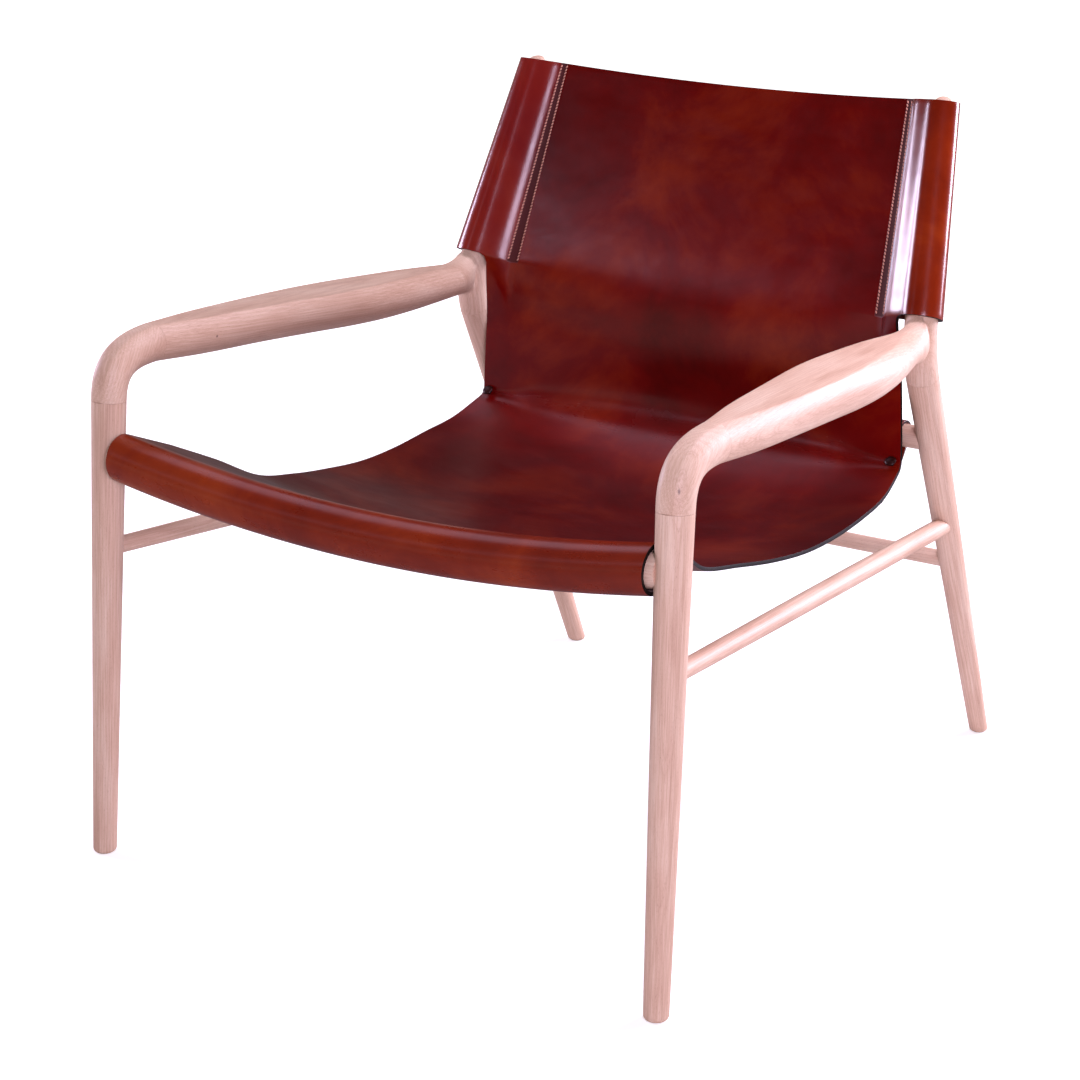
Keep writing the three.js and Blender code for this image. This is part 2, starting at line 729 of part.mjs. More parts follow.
function turnPoint(share, u) {
  const rounding = mix(turnRounding, turnMiddleRounding, bowAt(u));
  const bend = new THREE.QuadraticBezierCurve3(
    seatPoint(1 - rounding / (turnSetback - seatStart), u),
    seatPoint(1, u),
    panelPoint(rounding / (cutHeight - turnHeight), u),
  );
  return { place: bend.getPoint(share), along: bend.getTangent(share) };
}

function underTurn(share, u, depth) {
  const { place, along } = turnPoint(share, u);
  return place.addScaledVector(along.cross(aside).normalize(), depth);
}

// Half of one row, from the middle of the sling outwards; the other half mirrors it
const spread = [
  ...innerColumnShares.map((part) => part * stitchColumnShare),
  ...bandColumnShares.map((part) => mix(stitchColumnShare, 1, part / bandColumnShares[1])),
];
const wholeRow = (half) => [...half.slice(1).reverse().map((p) => p && mirrorPoint(p)), ...half];

function slingRows() {
  const loops = spread.map(frontLoop);
  const empty = Array(sleeveSteps + 3).fill(null);
  const plainRow = (place, share) => [...spread.map((u) => place(share, u)), ...empty];
  const rows = loops[0].map((_, i) => [...loops.map((loop) => loop[i]), ...empty]);
  dipShares.slice(0, -1).forEach(([share]) => rows.push(plainRow(seatPoint, share)));
  turnRowShares.forEach((share) => rows.push(plainRow((row, u) => turnPoint(row, u).place, share)));
  lowerRowShares.forEach((share) => rows.push(plainRow(panelPoint, share)));
  upperRowShares.forEach((share) => {
    const panel = innerColumnShares.map((part) => upperPoint(share, part));
    rows.push([...panel, ...sleeveSection(share, panel[panel.length - 2])]);
  });
  return rows;
}

// Rivets through the crease and the strap behind it
const rivetAcross = rivetSpread / turnSpread;
const rivetLean = THREE.MathUtils.degToRad(rivetTilt);
const rivetPlace = turnPoint(rivetRowShare, rivetAcross).place;
const rivetAxis = point(0, -Math.sin(rivetLean), Math.cos(rivetLean));
const strapUpperDepth = leather / 2 + strapGap + strapLeather / 2;
const strapLowerDepth = strapUpperDepth + strapLeather + strapGap;
const rivetStackDepth = strapLowerDepth + strapLeather / 2 + capSeating;

const onRivet = (depth) => rivetPlace.clone().addScaledVector(rivetAxis, depth);
const pegOnRivet = (from, to, radius) => peg(onRivet(from), onRivet(to), radius);
const rivetHole = () => pegOnRivet(cutOverrun, -rivetStackDepth - cutOverrun, rivetShankRadius + jointGap);
const withRivetHoles = (solid) => solid.subtract(rivetHole()).subtract(mirrorSolid(rivetHole()));
const sling = () => withRivetHoles(thicken(slingRows().map(wholeRow), leather));

// A rivet with a domed head in front and a flat cap behind the strap
const headShares = [[0, 1], [0.5, 0.82], [0.85, 0.5], [1, 0.16]];

function rivet() {
  const face = leather / 2 + headSeating;
  const head = loft(headShares.map(([riseShare, radiusShare]) => {
    const centre = onRivet(face + riseShare * rivetHeadHeight);
    return ring(centre, rivetAxis, rivetHeadRadius * radiusShare, rivetAxis, pegSides);
  }));
  const capMiddle = -rivetStackDepth - rivetCapHeight / 2;
  const cap = pegOnRivet(-rivetStackDepth, -rivetStackDepth - rivetCapHeight, rivetCapRadius);
  const shank = pegOnRivet(face + rivetHeadHeight / 2, capMiddle, rivetShankRadius);
  return head.add(cap).add(shank);
}

// Lumbar strap: two layers under the seat, parting behind the crease to go round the middle rail
const strapSteps = 14;
const lapShare = dipShares[dipShares.length - 2][0];
const strapLoopRadius = midRailRadius + strapSlack + strapLeather / 2;

function strapColumn(u) {
  const place = u * strapEndSpread / turnSpread;
  const [lower, upper] = [strapLowerDepth, strapUpperDepth].map((depth) => [
    underSeat(lapShare, place, depth),
    ...turnRowShares.slice(0, 3).map((share) => underTurn(share, place, depth)),
  ]);
  const centre = point(u * strapLoopSpread / 2, midRailAtLeg.y, midRailAtLeg.z);
  const first = tangentTurn(centre, lower[lower.length - 1], strapLoopRadius, 1);
  const last = tangentTurn(centre, upper[upper.length - 1], strapLoopRadius, -1) + Math.PI * 2;
  return [...lower, ...arcRows(centre, strapLoopRadius, first, last, strapSteps), ...upper.reverse()];
}

function lumbarStrap() {
  const columns = spread.map(strapColumn);
  const rows = columns[0].map((_, i) => wholeRow(columns.map((column) => column[i])));
  return withRivetHoles(thicken(rows, strapLeather));
}

const oak = () => new THREE.MeshStandardMaterial({ color: oakColour, roughness: 0.6, metalness: 0 });
const hide = (color) => new THREE.MeshStandardMaterial({ color, roughness: 0.35, metalness: 0 });
const metal = () => new THREE.MeshStandardMaterial({ color: rivetColour, roughness: 0.4, metalness: 0.6 });
const chair = new THREE.Group();

function addPiece(name, solid, material) {
  const mesh = new THREE.Mesh(meshOf(solid), material);
  mesh.name = name;
  chair.add(mesh);
}

const sidePieces = {
  front_leg: () => drill(frontLeg(), 'leg_corner')
    .subtract(socketAt(frontRailShoulder, aside, frontTenonRadius))
    .subtract(socketAt(sideFrontFace, sideAxis.clone().negate(), sideTenonRadius)),
  corner_block: () => drill(cornerBlock(), 'leg_corner', 'corner_arm'),
  armrest: () => drill(armrest(), 'corner_arm', 'arm_knuckle'),
  knuckle_block: () => drill(knuckleBlock(), 'arm_knuckle', 'leg_knuckle', 'post_knuckle'),
  rear_leg: () => drill(rearLeg(), 'leg_knuckle')
    .subtract(socketAt(midRailShoulder, aside, midTenonRadius))
    .subtract(socketAt(rearStretcherShoulder, aside, stretcherTenonRadius))
    .subtract(socketAt(sideRearFace, sideAxis, sideTenonRadius)),
  back_post: () => drill(backPost(), 'post_knuckle'),
  side_stretcher: sideStretcher,
};

for (const [name, make] of Object.entries(sidePieces)) {
  const solid = make();
  addPiece(`${name}_left`, solid, oak());
  addPiece(`${name}_right`, mirrorSolid(solid), oak());
}
for (const joint of Object.keys(dowelJoints)) {
  const solid = dowelIn(joint, 0);
  addPiece(`dowel_${joint}_left`, solid, oak());
  addPiece(`dowel_${joint}_right`, mirrorSolid(solid), oak());
}
addPiece('front_rail', frontRail(), oak());
addPiece('middle_rail', straightRail(midRailAtLeg, midRailShoulder, midRailRadius, midTenonRadius), oak());
const stretcher = straightRail(
  rearStretcherAtLeg,
  rearStretcherShoulder,
  rearStretcherRadius,
  stretcherTenonRadius,
);
addPiece('rear_stretcher', stretcher, oak());
addPiece('sling', sling(), hide(leatherColour));
addPiece('lumbar_strap', lumbarStrap(), hide(leatherColour));
addPiece('rivet_left', rivet(), metal());
addPiece('rivet_right', mirrorSolid(rivet()), metal());

// The origin goes under the middle of the chair, from front to back
const extent = new THREE.Box3().setFromObject(chair);
const middleSetback = extent.getCenter(point(0, 0, 0)).y;
chair.children.forEach((mesh) => mesh.geometry.translate(0, -middleSetback, 0));

export default chair;
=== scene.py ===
import math
from functools import partial
import bmesh
import bpy
from mathutils import Matrix, Vector


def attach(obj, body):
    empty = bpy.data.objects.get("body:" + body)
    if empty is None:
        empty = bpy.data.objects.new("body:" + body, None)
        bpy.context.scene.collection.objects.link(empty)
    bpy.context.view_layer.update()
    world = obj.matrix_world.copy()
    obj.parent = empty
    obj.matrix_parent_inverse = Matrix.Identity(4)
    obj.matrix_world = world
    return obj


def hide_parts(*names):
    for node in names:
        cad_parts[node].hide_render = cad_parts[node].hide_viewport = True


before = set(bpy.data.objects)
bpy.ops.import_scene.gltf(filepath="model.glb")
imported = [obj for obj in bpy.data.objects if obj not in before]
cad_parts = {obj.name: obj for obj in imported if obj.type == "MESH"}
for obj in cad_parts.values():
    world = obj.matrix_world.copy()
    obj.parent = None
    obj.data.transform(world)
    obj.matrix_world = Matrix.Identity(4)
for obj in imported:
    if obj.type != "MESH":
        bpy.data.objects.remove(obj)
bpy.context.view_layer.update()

# Lounge chair: a leather sling on a round oak frame.
# Plans are in millimetres and degrees unless a note says otherwise.
# The front faces -Y, and +X is the sitter's left.

mm = 0.001
originShift = Vector((0, 0.459, 0))   # the middle of the chair, from front to back, lies on the origin
aside = Vector((1, 0, 0))
back = Vector((0, 1, 0))
up = Vector((0, 0, 1))


def mix(a, b, share):
    return a + (b - a) * share


def ease(low, high, value):   # 0 below low, 1 above high, smooth between
    share = min(1, max(0, (value - low) / (high - low)))
    return share * share * (3 - 2 * share)


def fromTable(table, share, column=1):   # a smooth curve through the table's rows
    last = len(table) - 1
    end = 1
    while end < last and table[end][0] < share:
        end += 1

    def slope(i):
        before, after = table[max(0, i - 1)], table[min(last, i + 1)]
        return (after[column] - before[column]) / (after[0] - before[0])

    start, stop = table[end - 1], table[end]
    width = stop[0] - start[0]
    t = min(1, (share - start[0]) / width)
    rise = (stop[column] - start[column]) / width
    bulge = (slope(end - 1) - rise) * (1 - t) - (slope(end) - rise) * t
    return mix(start[column], stop[column], t) + bulge * width * t * (1 - t)


def atHeight(start, axis, height):
    return start + axis * ((height - start.z) / axis.z)


def bezier(points, share):   # place and direction on a curve with three or four control points
    rows = [p.copy() for p in points]
    while len(rows) > 2:
        rows = [a.lerp(b, share) for a, b in zip(rows, rows[1:])]
    return rows[0].lerp(rows[1], share), (rows[1] - rows[0]).normalized()


def mirrored(p):
    return Vector((-p.x, p.y, p.z))


# Camera

cameraPlan = {
    "place": (1.5709, -2.4557, 1.2494),   # metres
    "azimuth": 33.74,
    "elevation": 17.91,
    "lens": 96.02,
    "shift": (0.0057, -0.0122),
}


def setCamera(plan):
    bpy.ops.object.camera_add(location=plan["place"], rotation=(
        math.radians(90 - plan["elevation"]), 0, math.radians(plan["azimuth"])))
    camera = bpy.context.object
    camera.data.sensor_width = 36
    camera.data.lens = plan["lens"]
    camera.data.shift_x, camera.data.shift_y = plan["shift"]
    camera.data.clip_end = 50
    bpy.context.scene.camera = camera


setCamera(cameraPlan)
print("camera set")


# Materials

def linear(hexColour):
    channels = [int(hexColour[i:i + 2], 16) / 255 for i in (1, 3, 5)]
    return tuple(c / 12.92 if c <= 0.04045 else ((c + 0.055) / 1.055) ** 2.4 for c in channels) + (1,)


# links: socket -> value, node (its first output) or (node, output); a ramp's stops: (position, colour or grey)
def addNode(owner, kind, links=None, stops=(), **settings):
    tree = owner.node_tree
    node = tree.nodes.new("ShaderNode" + kind)
    for key, value in settings.items():
        setattr(node, key, value)
    for socket, value in (links or {}).items():
        named = isinstance(value, tuple) and isinstance(value[0], bpy.types.Node)
        source, output = value if named else (value, 0)
        if isinstance(source, bpy.types.Node):
            tree.links.new(source.outputs[output], node.inputs[socket])
        else:
            node.inputs[socket].default_value = source
    elements = node.color_ramp.elements if stops else []
    while len(elements) < len(stops):
        elements.new(0.5)
    for element, (position, value) in zip(elements, stops):
        element.position = position
        element.color = linear(value) if isinstance(value, str) else (value, value, value, 1)
    return node


def newMaterial(name):   # and the function that adds its nodes
    material = bpy.data.materials.new(name)
    material.use_nodes = True
    material.node_tree.nodes.clear()
    return material, partial(addNode, material)


noiseRange = {"From Min": 0.3, "From Max": 0.7}   # most of a noise's values lie here

# Solid oak, turned, sanded and oiled: pale and nearly matt, with long fibres and short, darker pores.
# Real fibres and pores are 0.1 to 0.2 mm wide, too fine for the picture, so both are drawn coarser.
oakLook = {
    "base": "#d5b199", "light": "#e2c6b0", "dark": "#c09880", "pore": "#a0745e", "knot": "#664a44",
    "ringWidth": 3.4, "ringShare": 0.42, "wanderWidth": 1000 / 24, "wanderLength": 312.5, "wanderReach": 14,
    "fibreWidth": 0.8, "fibreLength": 70, "patchWidth": 26, "patchLength": 160, "patchShare": 0.45,
    "poreWidth": 0.3, "poreLength": 4, "poreShare": 0.28, "poreShareInRings": 0.4,
    "knotPlace": (340.9, -385.8, 504.1), "knotStretch": 2.6, "knotRagged": 1.6, "knotShare": 0.85,
    "knotSize": (1.05, 2.55),   # dark within the first, gone beyond the second
    "knotReach": 16, "knotSwirl": 5,
    "speckPlace": (-299.7, -242, 524.8), "speckSmaller": 0.6,
    "relief": 0.04, "roughness": (0.44, 0.58), "smoothAngle": 40,
    "turnStep": 1.7, "firstPlace": (50, 30), "placeSteps": (13, 9, 370),   # so that no two pieces look alike
}


def makeOak(look):
    oak, add = newMaterial("oak")
    place = add("Attribute", attribute_name="grain", attribute_type="GEOMETRY")
    spot = add("TexCoord")

    def drawnOut(width, length, detail, roughness=0.6):   # a noise pulled out along the grain
        scaled = add("VectorMath", {
            0: (place, "Vector"), 1: (1 / (width * mm), 1 / (width * mm), 1 / (length * mm))},
            operation="MULTIPLY")
        return add("TexNoise", {"Vector": scaled, "Scale": 1.0, "Detail": detail, "Roughness": roughness})

    def farFrom(centre, length):   # distance in millimetres from a mark drawn out along Z
        moved = add("VectorMath", {
            0: (spot, "Object"), 1: tuple(c * mm for c in centre)}, operation="SUBTRACT")
        squeezed = add("VectorMath", {0: moved, 1: (1 / mm, 1 / mm, 1 / mm / length)}, operation="MULTIPLY")
        return add("VectorMath", {0: squeezed}, operation="LENGTH")

    drift = drawnOut(look["wanderWidth"], look["wanderLength"], 2.0, 0.5)
    centred = add("VectorMath", {0: (drift, "Color"), 1: (0.5, 0.5, 0.5)}, operation="SUBTRACT")
    reach = look["wanderReach"] * mm
    wander = add("VectorMath", {0: centred, 1: (reach, reach, 0)}, operation="MULTIPLY")
    bent = add("VectorMath", {0: (place, "Vector"), 1: wander}, operation="ADD")
    flat = add("VectorMath", {0: bent, 1: (1, 1, 0)}, operation="MULTIPLY")
    fromHeart = add("VectorMath", {0: flat}, operation="LENGTH")
    knot = farFrom(look["knotPlace"], look["knotStretch"])
    swirl = add("MapRange", {
        "Value": (knot, "Value"), "From Max": look["knotReach"], "To Min": look["knotSwirl"] * mm,
        "To Max": 0.0}, interpolation_type="SMOOTHSTEP")
    swirled = add("Math", {0: (fromHeart, "Value"), 1: swirl}, operation="ADD")
    turns = add("Math", {0: swirled, 1: 2 * math.pi / (look["ringWidth"] * mm)}, operation="MULTIPLY")
    wave = add("Math", {0: turns}, operation="SINE")
    swell = add("MapRange", {"Value": wave, "From Min": -1.0, "From Max": 1.0})
    rings = add("ValToRGB", {"Fac": swell}, [(0.0, 0.0), (0.6, 0.1), (0.92, 1.0), (1.0, 0.25)])
    fibres = drawnOut(look["fibreWidth"], look["fibreLength"], 4.0)
    patches = drawnOut(look["patchWidth"], look["patchLength"], 3.0)   # lighter and darker boards
    shade = add("Mix", {"Factor": look["patchShare"], "A": fibres, "B": patches}, data_type="FLOAT")
    tone = add("ValToRGB", {"Fac": shade}, [(0.36, look["dark"]), (0.5, look["base"]), (0.64, look["light"])])
    ringShare = add("Math", {0: rings, 1: look["ringShare"]}, operation="MULTIPLY")
    ringed = add("Mix", {"Factor": ringShare, "A": tone, "B": linear(look["dark"])}, data_type="RGBA")
    pores = drawnOut(look["poreWidth"], look["poreLength"], 1.0)
    poreSpots = add("ValToRGB", {"Fac": pores}, [(0.0, 1.0), (0.31, 1.0), (0.38, 0.0)])
    poresHere = add("Math", {
        0: rings, 1: look["poreShareInRings"], 2: look["poreShare"]}, operation="MULTIPLY_ADD")
    poreShare = add("Math", {0: poreSpots, 1: poresHere}, operation="MULTIPLY")
    pored = add("Mix", {
        "Factor": poreShare, "A": (ringed, "Result"), "B": linear(look["pore"])}, data_type="RGBA")
    ragged = add("Math", {0: pores, 1: look["knotRagged"], 2: (knot, "Value")}, operation="MULTIPLY_ADD")
    speck = farFrom(look["speckPlace"], 1)
    smaller = add("Math", {0: (speck, "Value"), 1: look["speckSmaller"]}, operation="ADD")
    nearest = add("Math", {0: ragged, 1: smaller}, operation="MINIMUM")
    knotShare = add("MapRange", {
        "Value": nearest, "From Min": look["knotSize"][0], "From Max": look["knotSize"][1],
        "To Min": look["knotShare"], "To Max": 0.0}, interpolation_type="SMOOTHSTEP")
    marked = add("Mix", {
        "Factor": knotShare, "A": (pored, "Result"), "B": linear(look["knot"])}, data_type="RGBA")
    height = add("Math", {0: fibres, 1: poreSpots}, operation="SUBTRACT")
    bump = add("Bump", {"Height": height, "Distance": look["relief"] * mm, "Strength": 0.5})
    smooth, rough = look["roughness"]
    roughness = add("MapRange", {"Value": fibres, **noiseRange, "To Min": smooth, "To Max": rough})
    shader = add("BsdfPrincipled", {
        "Base Color": (marked, "Result"), "Roughness": roughness, "Normal": bump, "IOR": 1.5})
    add("OutputMaterial", {"Surface": shader})
    return oak


# Saddle leather, tanned with bark, dyed and waxed: deep red brown with soft clouds and faint scuffs, and a
# smooth polish on which each lamp shows as a soft band. Real pores are 0.2 mm at most: drawn coarser, to show.
# Painted shade darkens the seat, the top of the back, the right post's sleeve and the dip between the stitch
# rows.
leatherLook = {
    # the last colour on the next line is painted shade: a darker red for the far post's sleeve
    "deep": "#500000", "mid": "#680301", "warm": "#862205", "paintedShadeRightSleeve": "#70121a",
    "sleeveDeep": "#5e1204", "sleeveMid": "#782006", "sleeveWarm": "#92340c",
    # the first colour on the next line is painted shade, for the dip between the stitch rows
    "paintedGrooveShade": "#3a0505", "scuff": "#8a2414",
    "cloudSize": 150, "scuffWidth": 22, "scuffLength": 60,
    "poreSize": 0.6, "poreRelief": 0.03, "waveSize": 60, "waveRelief": 2,
    "roughness": (0.17, 0.25), "dullOnSleeve": 0.4,   # the front sleeve keeps this share of the dullness
    # painted shade: two of these fades darken the leather's colour on the seat and towards the top of the back
    # name, start and end along the sheet from the front hem, value before and after
    "fades": [("onSeat", 155, 190, 0, 1), ("paintedSeatShade", 640, 740, 0.56, 1), ("paintedTopShade", 830, 1080, 1, 0.68),
              ("dullness", 640, 830, 0.2, 0)],
    # painted shade on the right post's sleeve: how far it reaches across the middle, and how strong it is
    "rightShadeWithin": 100, "rightShadeShare": 0.6,
    # in half widths of the seam: the stitch rows lie at the centre less and plus the half
    "rowsCentre": -0.325, "rowsHalf": 1.325, "outside": (0.8, 3),
    "grooveFade": 0.4, "grooveShadeShare": 0.85, "grooveRoughness": 0.9,
}


def makeGrainSide(look):
    hide, add = newMaterial("saddleLeather")
    place = add("UVMap", uv_map="flat")   # metres across and along the cut sheet
    split = add("SeparateXYZ", {0: place})
    seam = add("SeparateXYZ", {0: add("UVMap", uv_map="seam")})   # across the seam; 1 where the sheet is sewn
    clouds = add("TexNoise", {
        "Vector": place, "Scale": 1 / (look["cloudSize"] * mm), "Detail": 6.0, "Roughness": 0.62,
        "Distortion": 0.5})
    body = add("ValToRGB", {"Fac": clouds}, [(0.3, look["deep"]), (0.5, look["mid"]), (0.7, look["warm"])])
    sleeve = add("ValToRGB", {"Fac": clouds}, [
        (0.32, look["sleeveDeep"]), (0.5, look["sleeveMid"]), (0.68, look["sleeveWarm"])])
    fade = {}
    for name, start, stop, before, after in look["fades"]:
        fade[name] = add("MapRange", {
            "Value": (split, "Y"), "From Min": start * mm, "From Max": stop * mm, "To Min": before,
            "To Max": after}, interpolation_type="SMOOTHSTEP")
    # painted shade: the body's colour is scaled down on the seat and near the top edge
    shade = add("Math", {0: fade["paintedSeatShade"], 1: fade["paintedTopShade"]}, operation="MULTIPLY")
    bodyWithPaintedShade = add("VectorMath", {0: body, "Scale": shade}, operation="SCALE")
    outside = add("MapRange", {   # the post sleeves, beyond the stitches
        "Value": (seam, "X"), "From Min": look["outside"][0], "From Max": look["outside"][1]},
        interpolation_type="SMOOTHSTEP")
    onSleeve = add("Math", {0: outside, 1: (seam, "Y")}, operation="MULTIPLY")
    onPanel = add("Math", {0: 1.0, 1: onSleeve}, operation="SUBTRACT")
    onBody = add("Math", {0: fade["onSeat"], 1: onPanel}, operation="MULTIPLY")
    onRight = add("MapRange", {   # painted shade: the right post's sleeve, the far one, is painted darker and redder
        "Value": (split, "X"), "From Min": -look["rightShadeWithin"] * mm, "From Max": look["rightShadeWithin"] * mm,
        "To Min": look["rightShadeShare"], "To Max": 0.0})
    rightShadeHere = add("Math", {0: onRight, 1: (seam, "Y")}, operation="MULTIPLY")
    rightSleeveShade = add("Mix", {"Factor": rightShadeHere, "A": sleeve, "B": linear(look["paintedShadeRightSleeve"])}, data_type="RGBA")
    tone = add("Mix", {"Factor": onBody, "A": (rightSleeveShade, "Result"), "B": bodyWithPaintedShade}, data_type="RGBA")
    drawn = add("VectorMath", {
        0: place, 1: (1 / (look["scuffLength"] * mm), 1 / (look["scuffWidth"] * mm), 1)},
        operation="MULTIPLY")
    scuffs = add("TexNoise", {
        "Vector": drawn, "Scale": 1.0, "Detail": 5.0, "Roughness": 0.6, "Distortion": 0.3})
    scuffShare = add("ValToRGB", {"Fac": scuffs}, [(0.0, 0.0), (0.62, 0.0), (0.8, 0.08)])
    scuffed = add("Mix", {
        "Factor": scuffShare, "A": (tone, "Result"), "B": linear(look["scuff"])}, data_type="RGBA")
    offCentre = add("Math", {0: (seam, "X"), 1: look["rowsCentre"]}, operation="SUBTRACT")
    fromCentre = add("Math", {0: offCentre}, operation="ABSOLUTE")
    inShadedGroove = add("MapRange", {   # painted shade: the dip between the stitch rows is darkened in the colour
        "Value": fromCentre, "From Min": look["rowsHalf"], "From Max": look["rowsHalf"] + look["grooveFade"],
        "To Min": look["grooveShadeShare"], "To Max": 0.0}, interpolation_type="SMOOTHSTEP")
    sewnHere = add("Math", {0: inShadedGroove, 1: (seam, "Y")}, operation="MULTIPLY")
    sewn = add("Mix", {
        "Factor": sewnHere, "A": (scuffed, "Result"), "B": linear(look["paintedGrooveShade"])}, data_type="RGBA")
    pores = add("TexNoise", {
        "Vector": place, "Scale": 1 / (look["poreSize"] * mm), "Detail": 3.0, "Roughness": 0.6})
    waves = add("TexNoise", {
        "Vector": place, "Scale": 1 / (look["waveSize"] * mm), "Detail": 2.0, "Roughness": 0.5})
    fine = add("Bump", {"Height": pores, "Distance": look["poreRelief"] * mm, "Strength": 0.35})
    soft = add("Bump", {
        "Height": waves, "Distance": look["waveRelief"] * mm, "Strength": 0.2, "Normal": fine})
    polished, scuffedRough = look["roughness"]
    rough = add("MapRange", {"Value": scuffs, **noiseRange, "To Min": polished, "To Max": scuffedRough})
    dullHere = add("Math", {
        0: fade["onSeat"], 1: 1 - look["dullOnSleeve"], 2: look["dullOnSleeve"]}, operation="MULTIPLY_ADD")
    duller = add("Math", {0: fade["dullness"], 1: dullHere, 2: rough}, operation="MULTIPLY_ADD")
    matt = add("Mix", {   # no gloss between the rows
        "Factor": sewnHere, "A": duller, "B": look["grooveRoughness"]}, data_type="FLOAT")
    shader = add("BsdfPrincipled", {
        "Base Color": (sewn, "Result"), "Roughness": matt, "Normal": soft, "IOR": 1.5,
        "Specular IOR Level": 0.4})
    add("OutputMaterial", {"Surface": shader})
    return hide


# Two tones of a fine noise; nap, fuzz and specks are finer in life, and are drawn coarser so that they show
mottledLooks = {
    # the flesh side of the same hide, shaved and left bare: matt, with a soft nap and wide, faint patches
    "leatherFleshSide": {
        "speckSize": 10 / 9, "detail": 4.0, "patchSize": 500 / 7, "relief": 0.3, "reliefStrength": 0.6,
        "tones": [(0.35, "#451a0f"), (0.65, "#6c2e1c")],
        "surface": {"Roughness": 0.9, "Sheen Weight": 0.1, "Sheen Roughness": 0.5}},
    # edge paint, brushed on in coats: nearly black and matt, a little uneven
    "blackEdgePaint": {
        "speckSize": 5 / 3, "detail": 3.0, "relief": 0.2, "reliefStrength": 0.5,
        "tones": [(0.3, "#090404"), (0.75, "#170a09")],
        "surface": {"Roughness": 0.55, "Specular IOR Level": 0.2}},
    # linen thread, twisted and waxed: pale and soft, with a dull shine
    "waxedThread": {
        "speckSize": 0.4, "detail": 2.0, "tones": [(0.3, "#b06a58"), (0.7, "#e0a894")],
        "surface": {"Roughness": 0.7, "Specular IOR Level": 0.25}},
    # a stamped metal rivet, painted: dark red brown with a small, soft highlight
    "paintedRivet": {
        "speckSize": 10 / 9, "detail": 3.0, "tones": [(0.3, "#1d0605"), (0.75, "#3d100c")],
        "surface": {"Roughness": 0.36, "Metallic": 0.2, "Specular IOR Level": 0.35}},
}


def makeMottled(name, look):
    material, add = newMaterial(name)
    onSheet = "patchSize" in look
    place = add("UVMap", uv_map="flat") if onSheet else (add("TexCoord"), "Object")
    specks = add("TexNoise", {
        "Vector": place, "Scale": 1 / (look["speckSize"] * mm), "Detail": look["detail"]})
    shade = specks
    if onSheet:
        patches = add("TexNoise", {"Vector": place, "Scale": 1 / (look["patchSize"] * mm), "Detail": 5.0})
        shade = add("Mix", {"Factor": 0.5, "A": specks, "B": patches}, data_type="FLOAT")
    surface = {"Base Color": add("ValToRGB", {"Fac": shade}, look["tones"]), **look["surface"]}
    if "relief" in look:
        surface["Normal"] = add("Bump", {
            "Height": specks, "Distance": look["relief"] * mm, "Strength": look["reliefStrength"]})
    add("OutputMaterial", {"Surface": add("BsdfPrincipled", surface)})
    return material


oak = makeOak(oakLook)
grainSide = makeGrainSide(leatherLook)
fleshSide, edgePaint, waxedThread, rivetMetal = [makeMottled(*item) for item in mottledLooks.items()]
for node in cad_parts.values():   # the hidden dowels keep their own mesh
    for placeholder in node.material_slots:
        placeholder.material = oak
print("materials made")


# Modelling helpers

nearPlane = 1e-5   # metres
nearKey = 7        # digits at which two places count as one


def deselect():
    if bpy.context.object and bpy.context.object.mode != "OBJECT":
        bpy.ops.object.mode_set(mode="OBJECT")
    bpy.ops.object.select_all(action="DESELECT")


def pick(piece):   # the only selected one
    deselect()
    piece.select_set(True)
    bpy.context.view_layer.objects.active = piece


def editMesh(piece, action):
    pick(piece)
    bpy.ops.object.mode_set(mode="EDIT")
    bpy.ops.mesh.select_all(action=action)


def inScene(p):   # from the plans' millimetres to the scene's metres
    return (p + originShift) * mm


def placed(points):
    return [p and inScene(p) for p in points]


def placeKey(p, digits=nearKey):
    return tuple(round(c, digits) for c in p)


def applyAll(piece):
    pick(piece)
    bpy.ops.object.transform_apply(location=True, rotation=True, scale=True)


def useModifier(piece, kind, **settings):
    pick(piece)
    modifier = piece.modifiers.new(kind.lower(), kind)
    for key, value in settings.items():
        setattr(modifier, key, value)
    bpy.ops.object.modifier_apply(modifier=modifier.name)


def smoothShade(piece, angle):
    pick(piece)
    bpy.ops.object.shade_smooth_by_angle(angle=math.radians(angle))


def cover(piece, material, angle):
    smoothShade(piece, angle)
    piece.data.materials.clear()
    piece.data.materials.append(material)


def newPiece(name, shape):
    mesh = bpy.data.meshes.new(name)
    shape.to_mesh(mesh)
    shape.free()
    piece = bpy.data.objects.new(name, mesh)
    bpy.context.collection.objects.link(piece)
    return piece


def mirrorCopy(piece, name):
    twin = piece.copy()
    twin.data = piece.data.copy()
    twin.name = twin.data.name = name
    bpy.context.collection.objects.link(twin)
    twin.data.transform(Matrix.Scale(-1, 4, aside))
    twin.data.flip_normals()
    return twin


def layGrain(piece, axis, start, seed, lean=0):
    along = axis.normalized()
    sideways = along.cross(up if abs(along.z) < 0.9 else back).normalized()
    across = along.cross(sideways)
    turn = Matrix.Rotation(seed * oakLook["turnStep"], 3, along)
    sideways, across = turn @ sideways, turn @ across
    (firstX, firstY), (stepX, stepY, stepZ) = oakLook["firstPlace"], oakLook["placeSteps"]
    offset = Vector((firstX + stepX * (seed % 5), firstY + stepY * (seed % 7), stepZ * seed)) * mm
    values = []
    for vertex in piece.data.vertices:
        reach = vertex.co - inScene(start)
        values += [reach.dot(sideways) + offset.x + lean * reach.dot(along), reach.dot(across) + offset.y,
                   reach.dot(along) + offset.z]
    field = piece.data.attributes.new("grain", "FLOAT_VECTOR", "POINT")
    field.data.foreach_set("vector", values)


def handOver(piece, nodes):
    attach(piece, "root")
    if nodes:
        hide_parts(*nodes)
    return piece


